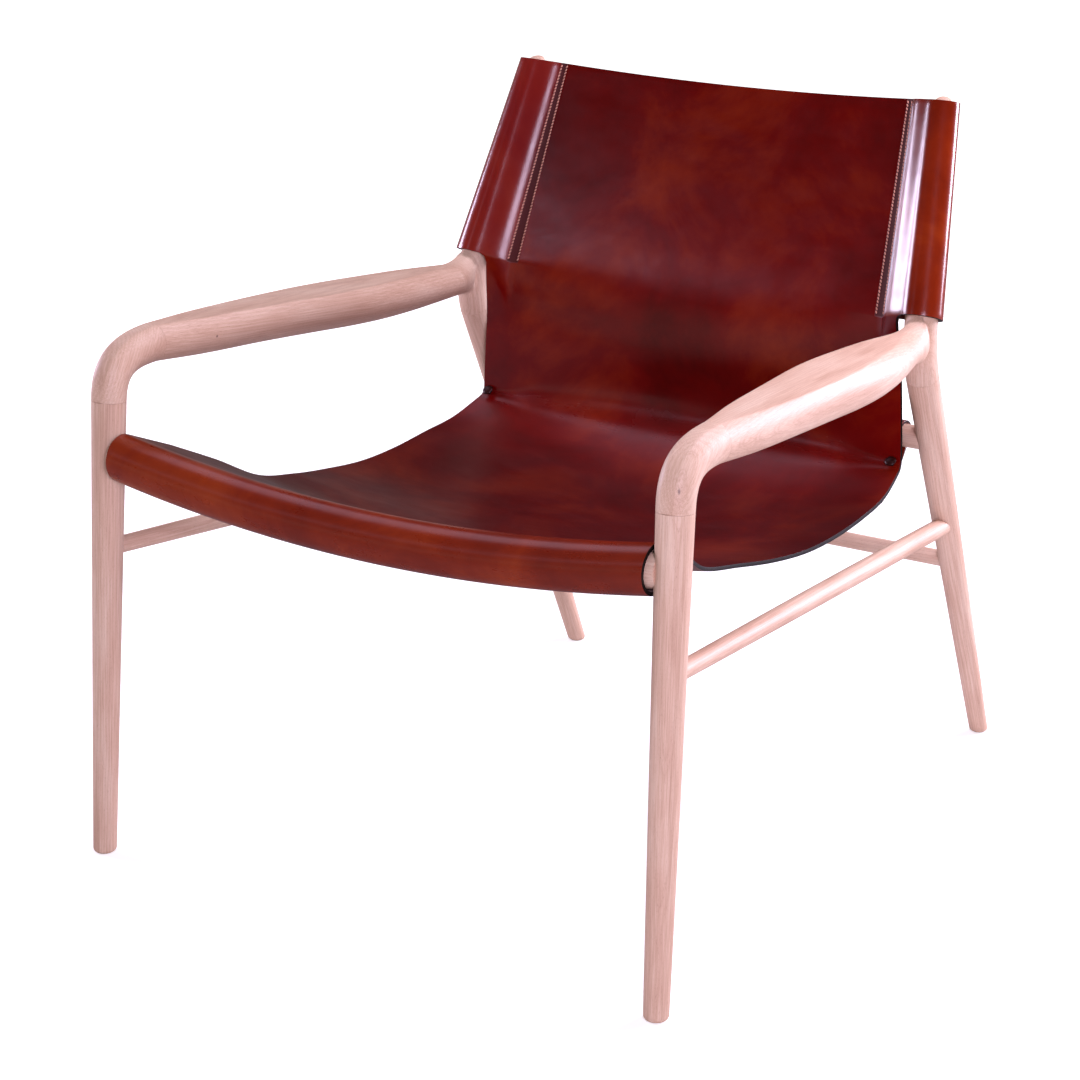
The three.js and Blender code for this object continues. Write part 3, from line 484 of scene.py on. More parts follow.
def extrudeRings(name, rings):   # a filled ring, extruded along and shaped to each section in turn
    sides = len(rings[0])
    rings = [placed(ring) for ring in rings]
    deselect()
    bpy.ops.mesh.primitive_circle_add(vertices=sides, radius=0.01, fill_type="NGON")
    piece = bpy.context.object
    piece.name = piece.data.name = name
    for i, vertex in enumerate(piece.data.vertices):
        vertex.co = rings[0][i]
    bpy.ops.object.mode_set(mode="EDIT")
    order = list(range(sides))
    for ring in rings[1:]:
        shape = bmesh.from_edit_mesh(piece.data)
        shape.verts.ensure_lookup_table()
        before = {placeKey(shape.verts[order[i]].co): i for i in range(sides)}
        bpy.ops.mesh.extrude_region_move()
        shape = bmesh.from_edit_mesh(piece.data)
        shape.verts.ensure_lookup_table()
        order = [0] * sides
        for vertex in shape.verts:
            if vertex.select:
                order[before[placeKey(vertex.co)]] = vertex.index
        for i, index in enumerate(order):
            shape.verts[index].co = ring[i]
        bmesh.update_edit_mesh(piece.data)
    bpy.ops.mesh.select_all(action="SELECT")
    bpy.ops.mesh.normals_make_consistent(inside=False)
    bpy.ops.object.mode_set(mode="OBJECT")
    return piece


def ringAt(centre, axis, radius, normal=None, sides=64):
    along = axis.normalized()
    normal = normal or along
    sideways = along.cross(back if abs(along.z) > abs(along.y) else up).normalized()
    across = along.cross(sideways)
    points = []
    for i in range(sides):
        turn = i / sides * math.pi * 2
        spoke = sideways * (math.cos(turn) * radius) + across * (math.sin(turn) * radius)
        points.append(centre + spoke - along * (spoke.dot(normal) / along.dot(normal)))
    return points


def coneBetween(name, start, stop, startRadius, stopRadius, sides=64):
    axis = stop - start
    deselect()
    bpy.ops.mesh.primitive_cone_add(
        vertices=sides, radius1=startRadius * mm, radius2=stopRadius * mm, depth=axis.length * mm,
        end_fill_type="NGON", location=inScene((start + stop) / 2),
        rotation=axis.to_track_quat("Z", "Y").to_euler())
    piece = bpy.context.object
    piece.name = piece.data.name = name
    applyAll(piece)
    return piece


def inPlane(place, normal):   # a test for edges
    at = inScene(place)
    return lambda item: all(abs((v.co - at).dot(normal)) < nearPlane for v in item.verts)


def bevelWhere(piece, picked, width, steps):   # in edit mode, on the edges that pass the test
    shape = bmesh.from_edit_mesh(piece.data)
    for item in shape.edges:
        item.select_set(picked(item))
    bmesh.update_edit_mesh(piece.data)
    bpy.ops.mesh.bevel(offset=width * mm, segments=steps, affect="EDGES")


def cutAbove(piece, place, normal, edge=0, steps=3):   # removes what lies beyond a plane, eases the new edge
    editMesh(piece, "SELECT")
    bpy.ops.mesh.bisect(plane_co=inScene(place), plane_no=normal, use_fill=True, clear_outer=True)
    if edge:
        bevelWhere(piece, inPlane(place, normal), edge, steps)
    bpy.ops.object.mode_set(mode="OBJECT")


# Frame plans: the same places and sizes as the solids

framePlan = {
    "footprintDepth": 838, "overallHeight": 750,
    "frontFootSpread": 675, "frontTopSpread": 662.4, "frontLegLean": 31.4, "frontSeamHeight": 482,
    "frontFootRadius": 12.2, "frontTopRadius": 17.8, "footRounding": 5,
    "rearFootSpread": 553.6, "rearFootRadius": 10.4, "rearTopRadius": 17.4,
    "knuckleSpread": 573, "knuckleSetback": 187, "knuckleHeight": 503, "knuckleRadius": 17.5,
    "knuckleToLeg": 37, "knuckleToPost": 50, "upperFillet": 10, "lowerFillet": 2,
    "postTipSpread": 511, "postTipSetback": 286.5, "postBottomRadius": 17.2, "postTipRadius": 10,
    "domeHeight": 8, "domePower": 0.8, "domeEnd": 0.04, "seamEdge": 0.35, "seamGap": 0.1,
    "legOverlength": 20,   # cut off at the floor
}
fp = framePlan
domeSteps = 8   # of the post tips and of the rivets' heads
frontFoot = Vector((fp["frontFootSpread"] / 2, -fp["footprintDepth"] / 2 + fp["frontFootRadius"], 0))
frontTop = Vector((fp["frontTopSpread"] / 2, frontFoot.y + fp["frontLegLean"], fp["frontSeamHeight"]))
rearFoot = Vector((fp["rearFootSpread"] / 2, fp["footprintDepth"] / 2 - fp["rearFootRadius"], 0))
knuckle = Vector((fp["knuckleSpread"] / 2, fp["knuckleSetback"], fp["knuckleHeight"]))
postTip = Vector((fp["postTipSpread"] / 2, fp["postTipSetback"], fp["overallHeight"]))
frontAxis = (frontTop - frontFoot).normalized()
rearAxis = (knuckle - rearFoot).normalized()
postAxis = (postTip - knuckle).normalized()
legTop = knuckle - rearAxis * fp["knuckleToLeg"]
postBase = knuckle + postAxis * fp["knuckleToPost"]


def frontLegRadius(height):
    return mix(fp["frontFootRadius"], fp["frontTopRadius"], height / fp["frontSeamHeight"])


def rearLegRadius(height):
    return mix(fp["rearFootRadius"], fp["rearTopRadius"], height / legTop.z)


def makeLeg(name, foot, top, axis, radiusAt):
    low = foot - axis * fp["legOverlength"]
    piece = coneBetween(name, low, top - axis * fp["seamGap"], radiusAt(low.z), radiusAt(top.z))
    cutAbove(piece, foot, -up, fp["footRounding"], 6)
    easeEnd(piece, top - axis * fp["seamGap"], axis)
    return piece


def easeEnd(piece, place, normal):   # the fine chamfer that shows as the line of a joint
    editMesh(piece, "DESELECT")
    flat = inPlane(place, normal)
    bevelWhere(piece, lambda item: flat(item) and any(len(f.verts) == 4 for f in item.link_faces),
               fp["seamEdge"], 2)
    bpy.ops.object.mode_set(mode="OBJECT")


armPlan = {
    "cornerReach": 67, "cornerRiseShare": 0.74, "cornerRunShare": 0.7,
    "frontTop": 547.5, "rearTop": 528.3, "topCrown": 0.5, "rearSetback": 150,
    "frontSpread": 659, "rearSpread": 572, "outwardBow": 1.6,
    "frontRadius": 18.6, "rearRadius": 22.8, "halfWidth": 35.6,
    "frontDepth": 39.1, "rearDepth": 37, "depth": 47.4, "flatHalfWidth": 29.8, "bellyShift": 7,
    # shares along the armrest, of its bow, extra width, flat top's width and extra depth
    "shares": [
        (0, 0, 0, 0.24, 0), (0.148, 0.4, 0.37, 0.6, 0.43), (0.336, 1, 0.68, 0.84, 0.62),
        (0.525, 0.6, 0.93, 1, 0.87), (0.633, 0.3, 1, 0.96, 1), (0.743, 0.3, 0.93, 0.81, 0.96),
        (0.847, 0.3, 0.7, 0.63, 0.68), (0.934, 0.1, 0.33, 0.36, 0.3), (1, 0, 0, 0.08, 0),
    ],
    "steps": 48, "sectionSteps": 54, "bendSteps": 30, "edge": 1.1,
}
ap = armPlan
armFrontY = frontTop.y + ap["cornerReach"]


# An ellipse with its top cut flat and its underside moved outwards
def armSection(centreX, y, top, halfWidth, depth, flat, shift):
    rise = math.sqrt(1 - (flat / halfWidth) ** 2)
    halfHeight = depth / (1 + rise)
    start = math.asin(rise)
    points = []
    for i in range(ap["sectionSteps"] + 1):
        turn = start - i / ap["sectionSteps"] * (math.pi + 2 * start)
        below = (rise - math.sin(turn)) * halfHeight
        points.append(Vector((
            centreX + math.cos(turn) * halfWidth + shift * (below / depth) ** 2, y, top - below)))
    return points


def armRing(share, y=None):
    bow, width, flat, depth = [fromTable(ap["shares"], share, column) for column in (1, 2, 3, 4)]
    return armSection(
        mix(ap["frontSpread"], ap["rearSpread"], share) / 2 + ap["outwardBow"] * bow,
        mix(armFrontY, ap["rearSetback"], share) if y is None else y,
        mix(ap["frontTop"], ap["rearTop"], share) + ap["topCrown"] * 4 * share * (1 - share),
        mix(mix(ap["frontRadius"], ap["rearRadius"], share), ap["halfWidth"], width),
        mix(mix(ap["frontDepth"], ap["rearDepth"], share), ap["depth"], depth),
        ap["flatHalfWidth"] * flat,
        ap["bellyShift"] * width)


def makeArmrest(name):
    rings = [armRing(i / ap["steps"]) for i in range(ap["steps"] + 1)]
    for ring, gap in ((rings[0], fp["seamGap"]), (rings[-1], -fp["seamGap"])):
        for p in ring:
            p.y += gap
    piece = extrudeRings(name, rings)
    # both edges of the flat top
    rim = {placeKey(p, nearKey - 1) for ring in rings for p in placed([ring[0], ring[-1]])}

    def onRim(item):
        a, b = [v.co for v in item.verts]
        return abs(a.y - b.y) > 10 * nearPlane and all(placeKey(p, nearKey - 1) in rim for p in (a, b))

    editMesh(piece, "DESELECT")
    bevelWhere(piece, onRim, ap["edge"], 3)
    bpy.ops.object.mode_set(mode="OBJECT")
    return piece


def makeCornerBlock(name):   # the leg's circle swings forward and over into the armrest's first section
    end = armRing(0, armFrontY - fp["seamGap"])
    endMiddle = Vector((ap["frontSpread"] / 2, end[0].y, ap["frontTop"] - ap["frontDepth"] / 2))
    start = frontTop + frontAxis * fp["seamGap"]
    controls = [
        start,
        start + frontAxis * ((endMiddle.z - start.z) * ap["cornerRiseShare"]),
        endMiddle - back * (ap["cornerReach"] * ap["cornerRunShare"]),
        endMiddle,
    ]
    rings = []
    for i in range(ap["bendSteps"] + 1):
        share = i / ap["bendSteps"]
        centre, along = bezier(controls, share)
        over = aside.cross(along).normalized()
        side = along.cross(over)
        ring = []
        for p in end:
            x, z = p.x - endMiddle.x, p.z - endMiddle.z
            angle = math.atan2(z, x)
            circled = Vector((math.cos(angle), math.sin(angle))) * fp["frontTopRadius"]
            local = circled.lerp(Vector((x, z)), share)
            ring.append(centre + side * local.x + over * local.y)
        rings.append(ring)
    return extrudeRings(name, rings)


knucklePlan = {
    "flareShares": [
        (0, 0, 0), (0.25, 0.03, 0.25), (0.5, 0.14, 0.5), (0.72, 0.36, 0.72), (0.88, 0.66, 0.88), (1, 1, 1)],
    "sinkShare": 0.35, "leanShare": 0.35, "voxel": 1.3, "smoothing": 6,
    "overlap": 6, "rodSteps": 24, "armSteps": 20,
}


def makeKnuckle(name):   # a bent rod from leg to post, with a filleted arm towards the armrest
    kp = knucklePlan
    low = legTop - rearAxis * kp["overlap"]
    high = postBase + postAxis * kp["overlap"]
    rodRings = []
    for i in range(kp["rodSteps"] + 1):
        share = i / kp["rodSteps"]
        centre, along = bezier([low, knuckle, high], share)
        plain = mix(fp["rearTopRadius"], fp["postBottomRadius"], share)
        rodRings.append(ringAt(centre, along, mix(plain, fp["knuckleRadius"], math.sin(share * math.pi))))
    rod = extrudeRings(name, rodRings)
    mouth = armRing(1, ap["rearSetback"] - kp["overlap"])
    middle = ap["rearTop"] - ap["rearDepth"] / 2
    reach = knuckle.y - fp["knuckleRadius"] * kp["sinkShare"] - ap["rearSetback"]
    sunkHalf = fp["knuckleRadius"] * math.sqrt(1 - kp["sinkShare"] ** 2)
    armRings = [mouth]
    for i in range(kp["armSteps"] + 1):
        share = i / kp["armSteps"]
        rise, fall = fromTable(kp["flareShares"], share, 1), fromTable(kp["flareShares"], share, 2)
        ring = []
        for p in mouth:
            above = p.z > middle
            away = (p.z - middle) / (ap["rearDepth"] / 2)
            fillet = rise * fp["upperFillet"] if above else fall * fp["lowerFillet"]
            lean = fillet * kp["leanShare"] * away if above else 0
            across = (p.x - ap["rearSpread"] / 2) * mix(1, sunkHalf / ap["rearRadius"], share)
            ring.append(Vector((
                mix(ap["rearSpread"] / 2, knuckle.x, share) + across,
                ap["rearSetback"] + reach * share + lean, p.z + fillet * away)))
        armRings.append(ring)
    arm = extrudeRings("knuckleArm", armRings)
    useModifier(rod, "BOOLEAN", operation="UNION", object=arm, solver="EXACT")
    bpy.data.objects.remove(arm)
    useModifier(rod, "REMESH", mode="VOXEL", voxel_size=kp["voxel"] * mm)
    useModifier(rod, "SMOOTH", factor=0.5, iterations=kp["smoothing"])
    for place, normal in (
            (legTop + rearAxis * fp["seamGap"], -rearAxis),
            (postBase - postAxis * fp["seamGap"], postAxis),
            (Vector((0, ap["rearSetback"] + fp["seamGap"], 0)), -back)):
        cutAbove(rod, place, normal)
    return rod


def makePost(name):
    rings = [ringAt(postBase + postAxis * fp["seamGap"], postAxis, fp["postBottomRadius"], sides=48)]
    for i in range(domeSteps + 1):   # domed tip
        turn = i / domeSteps * math.pi / 2
        height = fp["overallHeight"] - fp["domeHeight"] * (1 - math.sin(turn))
        radius = fp["postTipRadius"] * max(fp["domeEnd"], math.cos(turn) ** fp["domePower"])
        rings.append(ringAt(atHeight(knuckle, postAxis, height), postAxis, radius, up, sides=48))
    return extrudeRings(name, rings)


railPlan = {
    "frontHeight": 429, "frontDrop": 30.5, "frontRadius": 19.3, "frontEndRadius": 16.8, "frontTaper": 30,
    "middleHeight": 392.5, "middleRadius": 12.5, "rearHeight": 237.5, "rearRadius": 8.9,
    "sideFrontHeight": 329, "sideRearHeight": 285, "sideEndRadius": 8.8, "sideRadius": 10.2,
    "swellShares": [(0, 0), (0.2, 0.5), (0.5, 1), (0.85, 1), (1, 0.8)], "sink": 6,
    "frontSteps": 40, "sideSteps": 24,
}
rp = railPlan
frontRailAtLeg = atHeight(frontFoot, frontAxis, rp["frontHeight"])
frontRailEnd = frontRailAtLeg.x - frontLegRadius(rp["frontHeight"])
middleRailAtLeg = atHeight(rearFoot, rearAxis, rp["middleHeight"])
rearRailAtLeg = atHeight(rearFoot, rearAxis, rp["rearHeight"])


def railLine(x):
    return rp["frontHeight"] - rp["frontDrop"] * (1 - (x / frontRailAtLeg.x) ** 2)


def makeFrontRail(name):
    full = frontRailEnd - rp["frontTaper"]
    end = frontRailEnd + rp["sink"]
    steps = rp["frontSteps"]
    stations = [-end] + [mix(-full, full, i / steps) for i in range(steps + 1)] + [end]
    rings = []
    for x in stations:
        radius = rp["frontEndRadius"] if abs(x) == end else rp["frontRadius"]
        rings.append(ringAt(Vector((x, frontRailAtLeg.y, railLine(x))), aside, radius, sides=48))
    return extrudeRings(name, rings)


def makeCrossRail(name, atLeg, radius, legRadius):
    end = atLeg - aside * (legRadius - rp["sink"])
    return coneBetween(name, mirrored(end), end, radius, radius)


def makeSideStretcher(name):
    front = atHeight(frontFoot, frontAxis, rp["sideFrontHeight"])
    rear = atHeight(rearFoot, rearAxis, rp["sideRearHeight"])
    axis = (rear - front).normalized()
    front += axis * (frontLegRadius(rp["sideFrontHeight"]) - rp["sink"])
    rear -= axis * (rearLegRadius(rp["sideRearHeight"]) - rp["sink"])
    rings = []
    for i in range(rp["sideSteps"] + 1):
        share = i / rp["sideSteps"]
        radius = mix(rp["sideEndRadius"], rp["sideRadius"], fromTable(rp["swellShares"], share))
        rings.append(ringAt(front.lerp(rear, share), axis, radius, sides=40))
    return extrudeRings(name, rings)


def finishOak(piece, node, axis, start, seed, lean=0):
    cover(piece, oak, oakLook["smoothAngle"])
    layGrain(piece, axis, start, seed, lean)
    return handOver(piece, [node])


sidePieces = [   # piece, CAD node, way to make it, grain direction, grain start, lean of the grain
    ("frontLeg", "front_leg", lambda name: makeLeg(name, frontFoot, frontTop, frontAxis, frontLegRadius),
     frontAxis, frontFoot, 0),
    ("cornerBlock", "corner_block", makeCornerBlock, Vector((0, 0.6, 0.8)), frontTop, 0.1),
    ("armrest", "armrest", makeArmrest, Vector((-0.11, 1, -0.05)), Vector((329, armFrontY, 530)), 0.03),
    ("knuckleBlock", "knuckle_block", makeKnuckle, Vector((0, -0.25, 1)), knuckle, 0.05),
    ("rearLeg", "rear_leg", lambda name: makeLeg(name, rearFoot, legTop, rearAxis, rearLegRadius),
     rearAxis, rearFoot, 0),
    ("backPost", "back_post", makePost, postAxis, postBase, 0),
    ("sideStretcher", "side_stretcher", makeSideStretcher, Vector((-0.1, 1, -0.06)),
     Vector((330, -380, 329)), 0),
]
for count, (name, node, make, axis, start, lean) in enumerate(sidePieces):
    left = make(name + "Left")
    right = mirrorCopy(left, name + "Right")
    finishOak(left, node + "_left", axis, start, 2 * count + 1, lean)
    finishOak(right, node + "_right", mirrored(axis), mirrored(start), 2 * count + 2, lean)
finishOak(makeFrontRail("frontRail"), "front_rail", aside, frontRailAtLeg, 21)
for seed, name, node, atLeg, rail in (
        (22, "middleRail", "middle_rail", middleRailAtLeg, "middle"),
        (23, "rearStretcher", "rear_stretcher", rearRailAtLeg, "rear")):
    cross = makeCrossRail(name, atLeg, rp[rail + "Radius"], rearLegRadius(rp[rail + "Height"]))
    finishOak(cross, node, aside, atLeg, seed)
print("oak frame made")


# Leather sling: one sheet given by its middle surface, rows from the front hem up to the top edge

slingPlan = {
    "leather": 4, "sleeveEndGap": 1, "sleeveSlack": 1.2, "hemWidth": 24, "layerGap": 0.3,
    "frontHemReach": 62, "seatEdgeSpread": 561, "seatDip": 63, "seatSag": 20,
    "turnSpread": 537, "turnSetback": 195.5, "turnHeight": 369, "turnSag": 4,
    "turnRounding": 9, "turnMiddleRounding": 30,
    "panelEdgeSpread": 520, "panelSetback": 197, "cutHeight": 527.7,
    "stitchBottomSpread": 473, "stitchTopSpread": 440, "stitchBehindBottom": 7, "stitchBehindTop": 4,
    "sleeveBottomRadius": 23, "sleeveTopRadius": 18,
    "sleeveBottomFallShare": 0.05, "sleeveTopFallShare": 0.1, "sleeveTopLeanShare": 0.14,
    "tipShow": 6.2, "topEdgeDrop": 8, "backBow": 12, "sleevePuff": 3,
    "dipShares": [(0, 0.295), (0.09, 0.56), (0.19, 0.88), (0.31, 0.965), (0.43, 1), (0.56, 0.975),
                  (0.68, 0.84), (0.8, 0.62), (0.9, 0.4), (1, 0)],
    "widthShares": [(0, 0.7), (0.09, 0.1), (0.19, -0.26), (0.31, -0.26), (0.43, -0.1), (0.56, -0.03),
                    (0.7, 0), (1, 0)],
    "turnStartShare": 0.75, "frontSagShare": 0.4, "stitchColumnShare": 0.89, "edgeNarrowing": 1.3,
    "bendStartShare": 0.45, "cornerShare": 0.68, "cornerRadius": 8,
    "edgeRounding": 0.7, "stitchOffsetBottom": 5, "stitchOffsetTop": 3,
    "turnEase": 13, "rivetFade": (195, 232), "cutEase": 26, "seamFade": (2, 60),
    "offsetStart": 0.55, "hemPart": 0.68, "puffPeak": 27 / 4, "lengthColumn": 13,
    "flat": (0.835, 1.147), "flatArea": 0.7,   # the cut sheet in metres, as makeSheet measures it
}
sp = slingPlan
hemSteps = 4           # across the front hem
loopSteps = 40         # round the front rail
seatRows = 88          # from there to the crease
turnSteps = 12         # round the crease
panelRows = 34         # from there to the cut
upperRows = 40         # from the cut up to the top edge
innerSteps = 26        # from the middle out to the stitches
bandSteps = 8          # from the stitches to the corner of the cut
cornerSteps = 5        # round that corner
outerSteps = 6         # on to where the leather meets the post
roundSteps = 44        # round the post
loopRadius = rp["frontRadius"] + sp["sleeveSlack"] + sp["leather"] / 2
sleeveHalf = frontRailEnd - sp["sleeveEndGap"]
seatStart = frontRailAtLeg.y + sp["frontHemReach"]
crestHeight = rp["frontHeight"] + loopRadius
layerStep = sp["leather"] + sp["layerGap"]
topEdge = fp["overallHeight"] - sp["tipShow"]
outward = (aside - postAxis * postAxis.x).normalized()
forward = -(postAxis.cross(outward))


def bowAt(u):
    return 1 - u * u


def nearTurn(share):   # 0 on the seat, rising to 1 at the crease
    return max(0, share - sp["turnStartShare"]) / (1 - sp["turnStartShare"])


def seatHalf(share):
    plain = mix(sp["seatEdgeSpread"], sp["turnSpread"], nearTurn(share) ** 2) / 2
    return mix(plain, sleeveHalf, fromTable(sp["widthShares"], share))


def seatPoint(share, u):
    y = mix(seatStart, sp["turnSetback"], share)
    along = (y - frontRailAtLeg.y) / (sp["turnSetback"] - frontRailAtLeg.y)
    chord = mix(crestHeight, sp["turnHeight"], along)
    frontSag = mix(rp["frontDrop"], sp["seatSag"], ease(0, 1, share / sp["frontSagShare"]))
    sag = mix(frontSag, sp["turnSag"], ease(0, 1, nearTurn(share)))
    return Vector((u * seatHalf(share), y, chord - sp["seatDip"] * fromTable(sp["dipShares"], share)
                   - sag * bowAt(u)))


def underSeat(share, u, depth):
    ahead, behind = seatPoint(share, u), seatPoint(share - 0.01, u)
    normal = Vector((0, behind.z - ahead.z, ahead.y - behind.y)).normalized()
    return ahead - normal * depth


def tangentTurn(centre, start, radius, way):   # where a line from a place touches a circle, from +Y to +Z
    gapY, gapZ = start.y - centre.y, start.z - centre.z
    return math.atan2(gapZ, gapY) + way * math.acos(radius / math.hypot(gapY, gapZ))


def arcPoints(centre, radius, first, last, steps):
    points = []
    for i in range(steps + 1):
        turn = mix(first, last, i / steps)
        points.append(centre + Vector((0, math.cos(turn) * radius, math.sin(turn) * radius)))
    return points


def line(start, stop, steps):   # the places between two points, both left out
    return [start.lerp(stop, i / steps) for i in range(1, steps)]


def frontLoop(u):
    centre = Vector((u * sleeveHalf, frontRailAtLeg.y, railLine(u * sleeveHalf)))
    hemShare = sp["hemWidth"] / (sp["turnSetback"] - seatStart)
    hem = [underSeat(mix(hemShare, 0, i / hemSteps), u, layerStep) for i in range(hemSteps + 1)]
    low = tangentTurn(centre, hem[-1], loopRadius, -1)
    high = tangentTurn(centre, seatPoint(0, u), loopRadius, 1) - math.pi * 2
    arc = arcPoints(centre, loopRadius, low, high, loopSteps)
    return hem + line(hem[-1], arc[0], 7) + arc + line(arc[-1], seatPoint(0, u), 9)


def stitchPoint(share):
    height = mix(sp["cutHeight"], topEdge, share)
    x = mix(sp["stitchBottomSpread"], sp["stitchTopSpread"], share) / 2
    y = atHeight(knuckle, postAxis, height).y + mix(sp["stitchBehindBottom"], sp["stitchBehindTop"], share)
    return Vector((x, y, height))


def upperPoint(share, part):
    edge = stitchPoint(share)
    bow = bowAt(part)
    return Vector((part * edge.x, edge.y + sp["backBow"] * bow, edge.z - sp["topEdgeDrop"] * share * bow))


def sleeveSection(share):   # out from the stitches, round the post and back, square to the post
    start = stitchPoint(share)
    radius = mix(sp["sleeveBottomRadius"], sp["sleeveTopRadius"], share) - sp["leather"] / 2
    toAxis = knuckle + postAxis * (start - knuckle).dot(postAxis) - start
    centre = Vector((0, toAxis.dot(outward), toAxis.dot(forward)))
    seam, hemSeam = Vector((0, 0, 0)), Vector((0, 0, -layerStep))
    first = tangentTurn(centre, seam, radius, -1)
    last = tangentTurn(centre, hemSeam, radius, 1) - math.pi * 2
    touch = centre + Vector((0, math.cos(first) * radius, math.sin(first) * radius))
    flatLength = touch.length

    def placeAt(distance):   # along the band, which puffs out beside the stitches, then round the post
        if distance <= flatLength:
            part = distance / flatLength
            puff = sp["sleevePuff"] * sp["puffPeak"] * part * (1 - part) ** 2
            return seam.lerp(touch, part) + Vector((0, 0, puff))
        turn = first - (distance - flatLength) / radius
        return centre + Vector((0, math.cos(turn) * radius, math.sin(turn) * radius))

    corner = flatLength * sp["cornerShare"]
    roundEnd = flatLength + (first - last) * radius
    bandEnd = corner + sp["cornerRadius"]
    distances = [corner * i / bandSteps for i in range(1, bandSteps + 1)]
    distances += [corner + sp["cornerRadius"] * i / cornerSteps for i in range(1, cornerSteps + 1)]
    steps = outerSteps + roundSteps
    distances += [mix(bandEnd, roundEnd, i / steps) for i in range(1, steps + 1)]
    flat = [placeAt(d) for d in distances]
    flat += line(flat[-1], hemSeam, 6) + [hemSeam]
    points = []
    for p in flat:
        tilt = p.y * mix(sp["sleeveBottomFallShare"], sp["sleeveTopFallShare"], share)
        tilt += p.z * sp["sleeveTopLeanShare"] * share
        points.append(start + outward * p.y + forward * p.z - postAxis * tilt)
    inner = upperPoint(share, sp["hemPart"])
    hemEnd = start.lerp(inner, sp["hemWidth"] / (inner - start).length / 2) - forward * layerStep
    points += line(points[-1], hemEnd, 5) + [hemEnd]
    return points


def plainPanel(share, u):
    bend = (max(0, share - sp["bendStartShare"]) / (1 - sp["bendStartShare"])) ** 2
    inside = ease(0, 1, (1 - abs(u)) / (1 - sp["stitchColumnShare"]))
    setback = mix(mix(sp["turnSetback"], sp["panelSetback"], share), stitchPoint(0).y, bend * inside)
    half = mix(sp["turnSpread"], sp["panelEdgeSpread"], share ** sp["edgeNarrowing"]) / 2
    bow = mix(sp["turnSag"], sp["backBow"], bend) * bowAt(min(1, abs(u) / sp["stitchColumnShare"]))
    return Vector((u * half, setback + bow,
                   mix(sp["turnHeight"] - sp["turnSag"] * bowAt(u), sp["cutHeight"], share)))


innerShares = [i / innerSteps for i in range(innerSteps + 1)]
plainColumns = [part * sp["stitchColumnShare"] for part in innerShares] + [
    mix(sp["stitchColumnShare"], 1, i / bandSteps) for i in range(1, bandSteps + 1)]
firstSection = sleeveSection(0)
cutRow = [upperPoint(0, part) for part in innerShares] + firstSection[:bandSteps]
cutOffsets = [cut - plainPanel(1, u) for cut, u in zip(cutRow, plainColumns)]


def offsetAt(share, column):   # leads the plain panel into the row at the cut
    return cutOffsets[column] * ease(sp["offsetStart"], 1, share)


def panelPoint(share, column):
    return plainPanel(share, plainColumns[column]) + offsetAt(share, column)


def turnShares(u):   # where the rounding of the crease starts on the seat and ends on the panel
    rounding = mix(sp["turnRounding"], sp["turnMiddleRounding"], bowAt(u))
    return 1 - rounding / (sp["turnSetback"] - seatStart), rounding / (sp["cutHeight"] - sp["turnHeight"])


def turnRow(share, column, narrowing=1):
    u = plainColumns[column] * narrowing
    seatEnd, panelStart = turnShares(u)
    above = plainPanel(panelStart, u) + offsetAt(panelStart, column)
    return bezier([seatPoint(seatEnd, u), seatPoint(1, u), above], share)


def slingRows():
    loops = [frontLoop(u) for u in plainColumns]
    wide = len(plainColumns) + len(firstSection) - bandSteps
    empty = [None] * (wide - len(plainColumns))
    rows = [[loop[i] for loop in loops] + empty for i in range(len(loops[0]))]
    for i in range(seatRows):
        rows.append([seatPoint(turnShares(u)[0] * i / seatRows, u) for u in plainColumns] + empty)
    columns = range(len(plainColumns))
    turnAt = len(rows) + turnSteps // 2
    for i in range(turnSteps + 1):
        rows.append([turnRow(i / turnSteps, column)[0] for column in columns] + empty)
    filletStart = 1 - sp["cornerRadius"] / (sp["cutHeight"] - sp["turnHeight"])
    for i in range(1, panelRows):
        rows.append([panelPoint(mix(turnShares(u)[1], filletStart, i / panelRows), column)
                     for column, u in enumerate(plainColumns)] + empty)
    corner = firstSection[bandSteps - 1]
    radius = sp["cornerRadius"]
    for i in range(cornerSteps):
        t = i / cornerSteps
        row = [panelPoint(mix(filletStart, 1, t), column) for column in columns]
        for k in range(1, cornerSteps + 1):
            distance = radius * k / cornerSteps
            drop = radius - math.sqrt(radius ** 2 - (radius - distance) ** 2)
            share = mix(filletStart, 1, 1 - drop / radius * (1 - t))
            offset = firstSection[bandSteps - 1 + k] - corner
            row.append(panelPoint(share, len(plainColumns) - 1) + offset)
        rows.append(row + [None] * (wide - len(row)))
    for i in range(upperRows + 1):
        share = i / upperRows
        rows.append([upperPoint(share, part) for part in innerShares] + sleeveSection(share))
    easeBend(rows, turnAt, sp["turnEase"], lambda p: 1 - ease(*sp["rivetFade"], p.x))
    seamAt = stitchPoint(0).x
    cutAt = len(rows) - upperRows - 1
    easeBend(rows, cutAt, sp["cutEase"], lambda p: ease(*sp["seamFade"], seamAt - p.x))
    return rows


def easeBend(rows, bend, spread, shareAt):   # softens a bend across the sheet, away from seams and rivets
    for column in range(innerSteps + 1):
        points = [row[column] for row in rows]
        along = [0]
        for a, b in zip(points, points[1:]):
            along.append(along[-1] + (b - a).length)
        along = [s - along[bend] for s in along]
        for i, place in enumerate(points):
            share = shareAt(place) * (1 - ease(2 * spread, 4 * spread, abs(along[i])))
            if share <= 0:
                continue
            total, weights = Vector((0, 0, 0)), 0
            for k in range(1, len(points) - 1):   # the mean of what lies within three spreads
                gap = along[k] - along[i]
                if abs(gap) < 3 * spread:
                    weight = math.exp(-0.5 * (gap / spread) ** 2) * (along[k + 1] - along[k - 1])
                    total += points[k] * weight
                    weights += weight
            rows[i][column] = place.lerp(total / weights, share)


